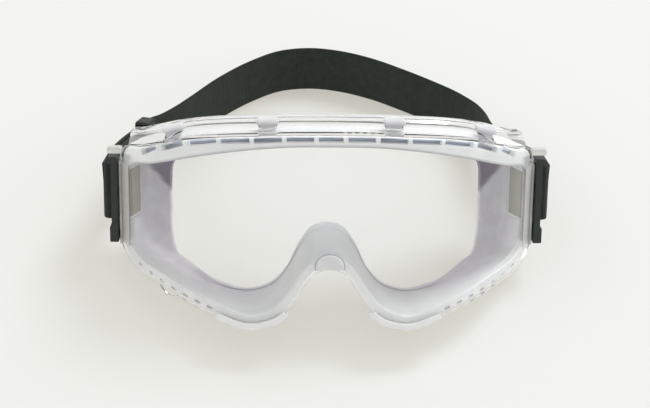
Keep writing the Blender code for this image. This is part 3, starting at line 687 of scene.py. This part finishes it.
def webbing_finish():
    """Woven elastic: crosswise ribs, with a fine twill of threads over them, painted highlight on the
    threads' crowns and painted shade in the ribs' troughs.
    """
    made = Finish("elastic webbing", (0.025, 0.031, 0.026), 0.9, Sheen_Weight=0.12, Sheen_Roughness=0.6,
                  Specular_IOR_Level=0.15)
    along, across = made.attribute("along"), made.attribute("across")
    rib, threads = made.ripple(along, RIB_PITCH), made.ripple(across, THREAD_PITCH)
    twill = made.ripple(made.math("ADD", across, along), TWILL_PITCH)
    weave = made.math("ADD", made.math("MULTIPLY", threads, 0.6), made.math("MULTIPLY", twill, 0.4))
    mottled = made.blend(made.mottle(350, 5), (0.011, 0.0165, 0.013), (0.025, 0.035, 0.029))
    # Painted highlight on the threads' crowns.
    lit = made.blend(made.spread(weave, 0, 0.45, -1, 1), mottled, (0.034, 0.042, 0.036))
    # Painted shade in the troughs between the ribs.
    made.paint(made.blend(made.spread(rib, 0.35, 0, -1, 0), lit, (0.012, 0.015, 0.013)),
               made.spread(weave, 0.95, 0.8, -1, 1))
    made.bump(weave, 0.5, 0.00012)
    return made.material


def thread_finish():
    made = Finish("dark thread", (0.02, 0.025, 0.021), 0.75, Sheen_Weight=0.2)
    made.paint(made.blend(made.noise(900, 4), (0.014, 0.018, 0.015), (0.045, 0.052, 0.047)),
               made.spread(made.noise(500, 2), 0.65, 0.85))
    made.bump(made.noise(4000, 2), 0.3, 0.0001)
    return made.material


def table_finish():
    """A table top lit from below, so that what stands on it casts only a faint shadow."""
    made = Finish("pale table", (0.48, 0.51, 0.54), 0.7, Emission_Color=(1.0, 0.93, 0.77, 1),
                  Emission_Strength=0.36, Specular_IOR_Level=0.2)
    made.paint(made.blend(made.noise(3, 3), (0.475, 0.503, 0.532), (0.49, 0.518, 0.547)))
    return made.material


# The lens.

def make_window():
    """The curved window: the outline cut into a grid and moved back as the lens wraps round."""
    shape = bmesh.new()
    shape.faces.new([shape.verts.new(p) for p in ring(flat(LENS_EDGE), FINE_STEPS)])
    strips = int(LENS_HALF / LENS_STRIP)
    for across in ((1, 0, 0), (0, 0, 1)):
        for i in range(-strips, strips + 1):
            bmesh.ops.bisect_plane(shape, geom=shape.verts[:] + shape.edges[:] + shape.faces[:], dist=1e-4,
                                   plane_co=Vector(across) * i * LENS_STRIP, plane_no=across)
    bmesh.ops.remove_doubles(shape, verts=shape.verts, dist=LENS_STRIP / 12)
    for vert in shape.verts:
        vert.co.y = wrap(vert.co.x)
    window = thicken(face_forward(from_bmesh("window", shape)), LENS_WALL)
    return round_edges(window, 0.35, 2)


def brim_section(depth):
    """The brim's upper side from front to back, then its under side again, as (distance back, height)."""
    lip = -LENS_WALL - BRIM_LIP
    upper = [(BRIM_START, 0), (depth * 0.4, 0), (depth * 0.62, 0), (depth * 0.66, BRIM_RIDGE),
             (depth * 0.7, BRIM_RIDGE), (depth * 0.74, 0), (depth - 1.6, 0), (depth - 1.2, BRIM_BEAD),
             (depth - 0.3, BRIM_BEAD), (depth, 0)]
    under = [(depth, lip + 0.3), (depth - 0.3, lip), (depth - 1.1, lip), (depth - 1.4, -LENS_WALL),
             (depth * 0.4, -LENS_WALL), (BRIM_START, -LENS_WALL)]
    return upper + under


def make_brim():
    """The shelf over the top vents, with a raised line along it and a lip at its back edge."""
    top = upper_edge(LENS_EDGE)
    rings = []
    columns = [LENS_STRIP * i for i in range(int(BRIM_HALF / LENS_STRIP) + 1)] + [BRIM_HALF]
    for x in [-x for x in columns[:0:-1]] + columns:
        depth = min(BRIM_DEPTH, BRIM_END_DEPTH + BRIM_CHAMFER * (BRIM_HALF - abs(x)))
        base = height_at(top, abs(x)) - BRIM_SINK
        rings.append([(x, wrap(x) + back, base + lift + BRIM_RISE * back / BRIM_DEPTH)
                      for back, lift in brim_section(depth)])
    return loft("brim", rings)


def on_brim(name, x, lift, size, *rounding):
    """A block where a retaining tab stands, its middle this far above the brim, rolled with the brim."""
    top = upper_edge(LENS_EDGE)
    roll = -atan(slope_at(top, abs(x), 3)) * copysign(TAB_ROLL, x)
    height = height_at(top, abs(x)) - BRIM_SINK + BRIM_RISE * TAB_BACK / BRIM_DEPTH
    middle = Vector((x, wrap(x) + TAB_BACK, height)) + Vector((sin(roll), 0, cos(roll))) * lift
    return box(name, middle, size, *rounding, about_y=roll)


def make_lugs(finish):
    """The lens's textured sides: lugs with the balls' sockets, edge strips, catches over the clips."""
    for side, name in SIDES:
        lug = box("lug", (side * (LENS_HALF - LENS_WALL / 2), LUG_Y, LUG_Z), (LENS_WALL, *LUG_SIZE), 0.4, 2)
        unite(lug, make_edge_band(side))
        unite(lug, box("catch", (side * CATCH_AT[0], *CATCH_AT[1:]), CATCH_SIZE, 0.9))
        cut(lug, join(swing_axis_cutters(SOCKET_FROM, SOCKET_RADIUS), "sockets"))
        settle_in(lug, f"lens_lug_{name}", finish, "lens", smooth=30)


def make_edge_band(side):
    """The textured strip down the window's upright edge, in front of the rim."""
    columns = [side * (LENS_HALF - EDGE_BAND_WIDE * i / EDGE_BAND_STEPS) for i in range(EDGE_BAND_STEPS + 1)]
    outline = [(x, -EDGE_BAND_PROUD) for x in columns] + [(x, EDGE_BAND_DEEP) for x in columns[::-1]]
    return loft("edge_band", [[behind_front(x, z, back) for x, back in outline] for z in EDGE_BAND_ENDS])


def on_swing_axis(name, side, start, end, radius, **shape):
    """A cylinder on the clips' swing axis, between these distances from the middle."""
    return cylinder(name, *((side * x, PIVOT_Y, PIVOT_Z) for x in (start, end)), radius, **shape)


def swing_axis_cutters(start, radius):
    """A cutter at each side, from this distance to clear of the lens."""
    return [on_swing_axis("cutter", side, start, LENS_HALF + 5, radius) for side, _ in SIDES]


def make_finger_tab():
    """A disc inside the lens's wall, cut away above the lens's lower edge."""
    x, radius = FINGER_TAB_X, FINGER_TAB_RADIUS
    lower_edge = smooth_through(flat(LENS_EDGE[SIDE_STATION + 1:][::-1]), FINE_STEPS)
    z = height_at(lower_edge, abs(x)) + radius - FINGER_TAB_SHOWS
    faces = [behind_front(x, z, (LENS_WALL + side * FINGER_TAB_WALL) / 2) for side in (-1, 1)]
    above = box("above", (x, wrap(x), z + FINGER_TAB_SHOWS + FINGER_TAB_KEEPS),
                (3 * radius, 3 * radius, 2 * radius), about_y=radians(FINGER_TAB_TURN))
    return cut(cylinder("finger_tab", *faces, radius, rounding=0.4), above)


def make_lens(finish):
    lens = make_window()
    unite(lens, make_brim())
    cut(lens, join(swing_axis_cutters(SOCKET_FROM, SOCKET_RADIUS), "sockets"))
    unite(lens, make_finger_tab())
    for x in TAB_XS:
        cut(lens, on_brim("tab_slot", x, 0, TAB_SLOT))
    settle_in(lens, "lens_moulding", finish, "lens", smooth=30)


# The soft body.

def gently(value):
    """A step from 0 to 1 with rounded ends."""
    value = min(max(value, 0), 1)
    return value * value * (3 - 2 * value)


def store_at(obj, name, value_at):
    """Stores a number that comes from each point's place and normal."""
    store(obj, name, [value_at(p.co, p.normal) for p in obj.data.vertices])


def depth_at(p, _):
    """How far behind the lens front, fading to none at the nose."""
    pale, fade = PALE_NOSE
    return (p.y - wrap(p.x) * WRAP_FOLLOWED) * gently((abs(p.x) - pale) / fade)


def outside_at(p, normal):
    """1 on the body's outer side and 0 inside it, where it faces the lens."""
    sideways = normal.x * copysign(SIDE_WEIGHT, p.x) + normal.z * copysign(SIDE_WEIGHT, p.z)
    return gently(0.5 + normal.y + sideways)


def corner_shade_at(p, normal):
    """1 where painted shade goes: inside the body's upper corners, behind a line across them."""
    reached = (p.z - CORNER_HEIGHT + CORNER_SLOPE * (CORNER_FROM - abs(p.x)), abs(p.x) - CORNER_LIMITS[0],
               p.y - CORNER_LIMITS[1])
    return (1 - outside_at(p, normal)) * prod(gently(r / fade) for r, fade in zip(reached, CORNER_FADES))


def make_tabs(finish):
    for number, x in enumerate(TAB_XS, 1):
        head = on_brim("head", x, TAB_GAP + TAB_HEAD[2] / 2, TAB_HEAD, 1.3, 5)
        unite(head, on_brim("neck", x, TAB_NECK_TOP - TAB_NECK[2] / 2, TAB_NECK, 0.4, 2))
        settle_in(head, f"retaining_tab_{number}", finish, f"lens_tab_{number}")


def top_vent_cutters():
    top = upper_edge(LENS_EDGE)
    edges = [-VENT_END, *(-x for x in VENT_DIVIDERS[::-1]), *VENT_DIVIDERS, VENT_END]
    for left, right in zip(edges, edges[1:]):
        x = (left + right) / 2
        middle = height_at(top, abs(x)) - VENT_BELOW
        turn = atan(wrap_slope(x))
        size = ((right - left - DIVIDER_WIDE) * (1 + 0.5 * abs(turn)), 4 * RIM_THICK, VENT_TALL)
        roll = -atan(slope_at(top, abs(x), 2)) * copysign(1, x)
        yield box("vent_slot", (x, wrap(x) + 2 * RIM_BACK, middle), size, 0.35, 2, roll, turn)


def lower_vent_cutters():
    wide, tall = LOWER_VENT_SIZE
    for side, _ in SIDES:
        for number in range(LOWER_VENTS):
            [(x, z)] = between([LOWER_VENT_FROM], [LOWER_VENT_TO], number / (LOWER_VENTS - 1))
            yield box("notch", (side * x, wrap(x) + 2 * RIM_BACK, z), (wide, 4 * RIM_THICK, tall), 0.2, 1,
                      -side * radians(LOWER_VENT_TURN), side * atan(wrap_slope(x)))


def make_rim(finish):
    """Rim with rounded corners, slotted above and notched below."""
    inner, outer = inset(BAND_EDGE, -RIM_ROUND), inset(RIM_EDGE, RIM_ROUND)
    thick, thinner = [RIM_THICK] * len(RIM_EDGE), [RIM_THICK - RIM_ROUND] * len(RIM_EDGE)
    rings = [rim_front(outer), rim_front(inset(BAND_EDGE, -RIM_LIP)), rim_front(inner),
             rim_front(BAND_EDGE, RIM_BACK + RIM_ROUND), behind_rim(BAND_EDGE, thinner),
             behind_rim(inner, thick), behind_rim(outer, thick), behind_rim(RIM_EDGE, thinner),
             rim_front(RIM_EDGE, RIM_BACK + RIM_ROUND)]
    rim = loft("rim", rings, capped=False, looped=True)
    stud_rooms = swing_axis_cutters(STUD_ROOM_FROM, STUD_ROOM_RADIUS)
    cut(rim, join([*top_vent_cutters(), *lower_vent_cutters(), *stud_rooms], "vent_cutters"))
    band = upper_edge(BAND_EDGE)

    # Painted shade along the rim's inner edge under the vents.
    def lip_shade_at(p, _):
        return gently(1 - (p.z - height_at(band, abs(p.x))) / RIM_LIP) if p.z > RIM_LIP_ABOVE else 0

    store_at(rim, "lip", lip_shade_at)
    settle_in(rim, "body_rim", finish, "front_rim")


def skirt_rings():
    """The skirt's rings, from the rim back to the flange and in to the face opening."""
    front = behind_rim(inset(RIM_EDGE, 0.2), [RIM_THICK + room for room in SKIRT_ROOM])
    back = ring(at_face(FLANGE_EDGE))
    lip = ring(at_face(FACE_EDGE, LIP_FORWARD, LIP_TEMPLE))
    wall = between(front, back, TURN_FROM)
    turn = [between(between(wall, back, share), between(back, lip, share), share)
            for share in (0.25, 0.5, 0.75)]
    rings = (front, between(front, wall, 0.5), wall, *turn, lip)
    return list(zip(*(smooth_through(section, 5) for section in zip(*rings))))


def on_side(name, side, size, *rounding):
    """A block where the side vent's screen is, turned as it is."""
    middle = (side * SCREEN_AT[0], *SCREEN_AT[1:])
    return box(name, middle, size, *rounding, about_z=side * radians(SCREEN_TURN))


def make_skirt(finish):
    skirt = loft("skirt", skirt_rings(), capped=False)
    outer_wall = [f for f in skirt.data.polygons if f.center.y < WALL_ENDS]
    if sum(f.normal.dot(f.center) * f.area for f in outer_wall) < 0:
        skirt.data.flip_normals()
    thicken(skirt, BODY_WALL)
    round_edges(skirt, 0.6, 3, 50)
    opening = (7 * BODY_WALL, SCREEN_SIZE[1] + SCREEN_ROOM, SCREEN_SIZE[2] + SCREEN_ROOM)
    holes = [on_side("hole", side, opening, 0.8) for side, _ in SIDES]
    cut(skirt, join([*holes, *swing_axis_cutters(STUD_ROOM_FROM, STUD_ROOM_RADIUS)], "side_openings"))
    store_at(skirt, "depth", depth_at)
    store_at(skirt, "corner_shade", corner_shade_at)
    store_at(skirt, "outside", outside_at)
    settle_in(skirt, "body_skirt", finish, "face_skirt", smooth=40)


def make_screens(finish, edge_finish):
    """Mesh panels with a moulded border."""
    thick, deep, tall = SCREEN_SIZE
    for side, name in SIDES:
        panel = on_side("panel", side, SCREEN_PANEL)
        uv = panel.data.uv_layers.new(name="mesh")
        for loop, place in zip(panel.data.loops, uv.data):
            point = panel.data.vertices[loop.vertex_index].co
            place.uv = (point.y, point.z)
        border = on_side("border", side, SCREEN_SIZE, 0.25, 2)
        window = (thick * 3, deep - 2 * SCREEN_BORDER, tall - 2 * SCREEN_BORDER)
        cut(border, on_side("window", side, window, 0.8))
        for piece, label, look in ((panel, "screen", finish), (border, "screen_border", edge_finish)):
            settle_in(piece, f"side_{label}_{name}", look, f"side_vent_screen_{name}")


def make_baffle(finish):
    deep = [RIM_THICK + BAFFLE_GAP] * len(BAND_EDGE)
    edges = [behind_rim(inset(outline, amount), deep)
             for outline, amount in ((BAND_EDGE, -BAFFLE_FOOT), (LENS_EDGE, BAFFLE_TOP))]
    reach = round(BAFFLE_STATIONS * RING_STEPS)
    rows = [[edge[i] for i in range(-reach, reach + 1)] for edge in edges]
    strip = face_forward(loft("strip", rows, capped=False, closed=False))
    baffle = round_edges(thicken(strip, BAFFLE_WALL), 0.25)
    settle_in(baffle, "vent_baffle", finish, "top_vent_baffle")


def make_channels(finish):
    """Strips that wrap the lens's edge under the cheeks."""
    first, last = CHANNEL_ENDS
    half = [p for p in smooth_through(flat(LENS_EDGE), 10) if p.z < 0 and last <= p.x <= first]
    for side, name in SIDES:
        edge = [Vector((side * p.x, 0, p.z)) for p in half]
        rings = []
        for p, along in zip(edge, directions(edge)):
            outward = Vector((-along.z, 0, along.x)) * side
            rings.append([(p.x + outward.x * out, wrap(p.x) + back, p.z + outward.z * out)
                          for out, back in CHANNEL_SECTION])
        channel = round_edges(loft("channel", rings), 0.3, 2, 50)
        settle_in(channel, f"cheek_channel_on_{name}", finish, f"cheek_channel_{name}",
                  smooth=50)


def make_nose_pad(finish):
    """Half-oval pad in a shallow seat, domed a little, with a rounded edge."""
    wide, tall = NOSE_PAD
    foot = LENS_EDGE[-1][1] - NOSE_PAD_DROP
    arc = [pi * (0.5 + NOSE_PAD_TURN * (i / 20 - 1)) for i in range(41)]
    below = -cos(pi * NOSE_PAD_TURN)
    rings = []
    for share, back in NOSE_PAD_SECTION:
        low = foot + (1 - share) * tall * 0.4
        rings.append([(wide / 2 * share * cos(a), NOSE_PAD_Y + back,
                       low + tall * share * (sin(a) + below) / (1 + below)) for a in arc])
    pad = loft("pad", rings)
    start, fade = NOSE_SEAT_SHADE
    # Painted shade on the seat behind the pad, stored for the finish as its lip.
    store_at(pad, "lip", lambda p, _: gently((p.y - NOSE_PAD_Y - start) / fade))
    settle_in(pad, "nose_bridge_pad", finish, "nose_pad", smooth=50)


# The clips.

def make_clip(side, name, body, finish):
    """Bar with an arm above and a foot below, which hold the webbing's rod between them."""
    wide, deep = CLIP_BAR
    inner = CLIP_X - wide / 2
    clip = box("bar", (side * CLIP_X, CLIP_FRONT + deep / 2, 0), (wide, deep, 2 * CLIP_HALF_TALL), 0.45)
    for end, tall in ((1, CLIP_ARM_TALL), (-1, CLIP_FOOT_TALL)):
        middle = (side * (inner + CLIP_OUT) / 2, (CLIP_FRONT + CLIP_REAR) / 2,
                  end * (CLIP_HALF_TALL - tall / 2))
        unite(clip, box("arm", middle, (CLIP_OUT - inner, CLIP_REAR - CLIP_FRONT, tall), 0.55))
    rod_half = CLIP_HALF_TALL - CLIP_ARM_TALL / 2
    rod_ends = [(side * ROD_X, ROD_Y, z) for z in (-rod_half, rod_half)]
    unite(clip, cylinder("rod", *rod_ends, ROD_RADIUS, 32))
    cut(clip, on_swing_axis("stud_hole", side, inner - 2, CLIP_OUT - 0.4, NECK_RADIUS + 0.6, sides=32))
    settle_in(clip, f"headband_clip_{name}", finish, f"strap_clip_{name}", body, smooth=30)


def make_stud(side, name, body, finish):
    """The ball in the lens's socket, on a neck from the clip."""
    ball_x = LENS_HALF - LENS_WALL / 2
    shape = bmesh.new()
    bmesh.ops.create_uvsphere(shape, u_segments=40, v_segments=24, radius=BALL_RADIUS)
    shape.transform(Matrix.Translation((side * ball_x, PIVOT_Y, PIVOT_Z)))
    ball = from_bmesh("ball", shape)
    unite(ball, on_swing_axis("neck", side, ball_x, CLIP_OUT - 0.8, NECK_RADIUS, sides=32, rounding=0.2))
    settle_in(ball, f"clip_stud_{name}", finish, f"pivot_stud_{name}", body)


# The headband.

def to_leaning(x, y, z):
    return Vector((x, y * cos(LEAN) + z * sin(LEAN), -y * sin(LEAN) + z * cos(LEAN)))


def to_upright(p):
    return Vector((p[0], p[1] * cos(LEAN) - p[2] * sin(LEAN), p[1] * sin(LEAN) + p[2] * cos(LEAN)))


def strap_up(p, along):
    """Which way is up across the webbing: the goggle's own up at the rods, straight up at the back."""
    start, length = UPRIGHT_OVER
    lean = 1 - min(max((p[1] - start) / length, 0), 1)
    up = Vector((0, sin(LEAN) * lean, cos(LEAN * lean)))
    return (up - up.dot(along) * along).normalized()


def inward_at(p, along):
    """Out of the webbing's face, towards the inside of the headband."""
    inward = along.cross(strap_up(p, along)).normalized()
    return -inward if inward.x * p[0] > 0 else inward


def folded_layer(route, length, near, far):
    """The folded-back layer inside the route, spaced from near, at the loop, to far."""
    travelled = 0
    layer = []
    for a, b in zip(route, route[1:]):
        along = (b - a).normalized()
        spacing = far + (near - far) * exp(-travelled / FOLD_CLOSES)
        layer.append(a + inward_at(a, along) * spacing)
        travelled += (b - a).length
        if travelled > length:
            break
    return layer


def loop_arc(side):
    """The webbing's half turn round a clip's rod."""
    centre = to_leaning(side * LOOP_X, ROD_Y, STRAP_LIFT)
    forward = to_leaning(0, -1, 0)
    outward = Vector((side, 0, 0))
    turns = [pi * i / 16 for i in range(17)]
    return [centre + LOOP_RADIUS * (outward * cos(a) + forward * sin(a)) for a in turns]


def strap_line():
    """Middle line of the whole webbing, from its left end to its right end, leaning."""
    ends = [to_leaning(side * (LOOP_X + LOOP_RADIUS), ROD_Y, STRAP_LIFT) for side in (-1, 1)]
    route = smooth_through([ends[0], *STRAP_ROUTE, ends[1]], FINE_STEPS)
    left = folded_layer(route, FOLD_LEFT, 2 * LOOP_RADIUS, LAYERS_LEFT)
    right = folded_layer(route[::-1], FOLD_RIGHT, 2 * LOOP_RADIUS, LAYERS_RIGHT)
    return [*left[:0:-1], *loop_arc(-1)[:0:-1], *route, *loop_arc(1)[1:], *right[1:]]


def evenly(line, spacing):
    """Points along a line at an even spacing, and its length."""
    travelled, wanted, spaced = 0.0, 0.0, []
    for a, b in zip(line, line[1:]):
        step = (b - a).length
        while wanted <= travelled + step:
            spaced.append(a + (b - a) * ((wanted - travelled) / step))
            wanted += spacing
        travelled += step
    return spaced, travelled


def webbing_section():
    """The webbing from edge to edge, as (place across, share of its thickness, selvedge)."""
    half = STRAP_WIDE / 2
    places = [0.0, 0.12, 0.35, WEBBING_ROUND, SELVEDGE, SELVEDGE + 0.3, 4.5, 7.5, 10.1, half]
    section = []
    for place in places:
        share = sqrt(1 - (1 - place / WEBBING_ROUND) ** 2) if place < WEBBING_ROUND else 1.0
        section.append((place - half, share, place < SELVEDGE + 0.1))
    return section + [(-across, share, edge) for across, share, edge in section[-2::-1]]


def make_strap(finish):
    """The webbing as woven: crosswise ribs on both sides, flatter at the selvedges."""
    points, length = evenly(strap_line(), RIB_PITCH / ROWS_PER_RIB)
    section = webbing_section()
    rings, marks = [], []
    for i, (p, along) in enumerate(zip(points, directions(points))):
        up = strap_up(p, along)
        out = along.cross(up).normalized()
        rib = RIB_HEIGHT * sin(2 * pi * i / ROWS_PER_RIB)
        one = []
        for side in (1, -1):
            for across, share, edge in section[::side][:-1]:
                half = share * (STRAP_THICK / 2 - RIB_HEIGHT + (RIB_HEIGHT * SELVEDGE_RIB if edge else rib))
                one.append(to_upright(p + up * across + out * half * side))
                marks.append((i * RIB_PITCH / ROWS_PER_RIB, across))
        rings.append(one)
    strap = loft("webbing", rings)
    for name, values in zip(("along", "across"), zip(*marks)):
        store(strap, name, values)
    settle_in(strap, "headband_webbing", finish, "strap", "headband", smooth=60)


def on_strap(here, station, lift):
    """A piece's place on the webbing: X across it, Y along it, Z towards the inside."""
    here = Vector(here)
    along = (Vector(STRAP_ROUTE[station + 1]) - Vector(STRAP_ROUTE[station - 1])).normalized()
    up, inward = strap_up(here, along), inward_at(here, along)
    across = up if up.cross(along).dot(inward) > 0 else -up
    turned = Matrix([to_upright(v) for v in (across, along, inward)]).transposed().to_4x4()
    return Matrix.Translation(to_upright(here + inward * lift)) @ turned


def make_slider(finish):
    """Adjuster frame with rounded edges and a thin bar between the webbing's layers."""
    slider = box("slider", (0, 0, 0), SLIDER_FRAME, 1.1, 4)
    cut(slider, box("window", (0, 0, 0), SLIDER_WINDOW, 0.5, 2))
    unite(slider, box("bar", (0, 0, 0), SLIDER_BAR, 0.2, 2))
    slider.data.transform(on_strap(SLIDER_AT, SLIDER_STATION, LAYERS_LEFT / 2))
    settle_in(slider, "strap_adjuster", finish, "strap_slider", "slider", smooth=30)


def make_bar_tack(finish):
    """Dense zigzag of thread."""
    across, along, thick = BAR_TACK_SIZE
    points = []
    for i in range(2 * BAR_TACK_ZIGS + 1):
        x = across * (i / (2 * BAR_TACK_ZIGS) - 0.5)
        y = along / 2 * (1 if i % 2 else -1)
        points += [(x - 0.1, y * 0.92, 0), (x, y, 0.1), (x + 0.1, y * 0.92, 0)]
    tack = tube("tack", points, thick * 0.36, 6)
    tack.data.transform(on_strap(BAR_TACK_AT, BAR_TACK_STATION, -BAR_TACK_LIFT))
    settle_in(tack, "bar_tack_stitches", finish, "bar_tack", "headband", smooth=60)


# Table, light and camera.

def make_table():
    shape = bmesh.new()
    bmesh.ops.create_grid(shape, x_segments=8, y_segments=8, size=TABLE_HALF)
    table = from_bmesh("table", shape)
    table.data.materials.append(table_finish())


def make_light():
    world = bpy.data.worlds.new("studio")
    bpy.context.scene.world = world
    world.use_nodes = True
    nodes, links = world.node_tree.nodes, world.node_tree.links
    sky = nodes["Background"]
    sky.inputs["Color"].default_value = SKY_COLOUR
    height = nodes.new("ShaderNodeSeparateXYZ")
    brighter = nodes.new("ShaderNodeMapRange")
    brighter.inputs["To Min"].default_value, brighter.inputs["To Max"].default_value = SKY
    links.new(nodes.new("ShaderNodeTexCoord").outputs["Generated"], height.inputs[0])
    links.new(height.outputs["Z"], brighter.inputs["Value"])
    links.new(brighter.outputs["Result"], sky.inputs["Strength"])
    lamp = bpy.data.lights.new("key", "AREA")
    lamp.shape, lamp.size, lamp.energy, lamp.color = "DISK", KEY_SIZE, KEY_POWER, KEY_COLOUR
    key = new_object("key", lamp)
    key.location = KEY_AT
    key.rotation_euler = (Vector(KEY_TARGET) - Vector(KEY_AT)).to_track_quat("-Z", "Y").to_euler()
    bpy.context.scene.view_settings.view_transform = "Standard"


def make_camera():
    azimuth, elevation, roll = (radians(a) for a in CAMERA_TURNS)
    back = Vector((sin(azimuth) * cos(elevation), -cos(azimuth) * cos(elevation), sin(elevation)))
    right = Vector((0, 0, 1)).cross(back).normalized()
    up = back.cross(right)
    turned_right = right * cos(roll) + up * sin(roll)
    turned_up = up * cos(roll) - right * sin(roll)
    camera = new_object("camera", bpy.data.cameras.new("camera"))
    target = LEANING.to_translation()
    turned = Matrix((turned_right, turned_up, back)).transposed().to_4x4()
    camera.matrix_world = Matrix.Translation(target + back * CAMERA_DISTANCE) @ turned
    camera.data.lens = CAMERA_LENS
    camera.data.sensor_width = 36
    camera.data.shift_x, camera.data.shift_y = CAMERA_SHIFT
    bpy.context.scene.camera = camera


def main():
    make_camera()
    make_light()
    make_table()
    clear, vinyl = clear_finish(), body_finish()
    rim = rim_finish("soft vinyl rim", (0.86, 0.88, 0.895), (0.90, 0.91, 0.92))
    channel = rim_finish("soft vinyl channels", (0.76, 0.775, 0.78), (0.82, 0.83, 0.835))
    tab = rim_finish("soft vinyl tabs", (0.66, 0.66, 0.685), (0.74, 0.74, 0.765))
    nylon, thread = clip_finish(), thread_finish()
    make_lens(clear)
    make_lugs(frosted_finish())
    make_rim(rim)
    make_skirt(vinyl)
    make_tabs(tab)
    make_screens(screen_finish(), vinyl)
    make_baffle(baffle_finish())
    make_channels(channel)
    make_nose_pad(tab)
    for (side, name), body in zip(SIDES, ("headband", "right_clip")):
        make_clip(side, name, body, nylon)
        make_stud(side, name, body, nylon)
    make_slider(nylon)
    make_strap(webbing_finish())
    make_bar_tack(thread)


main()
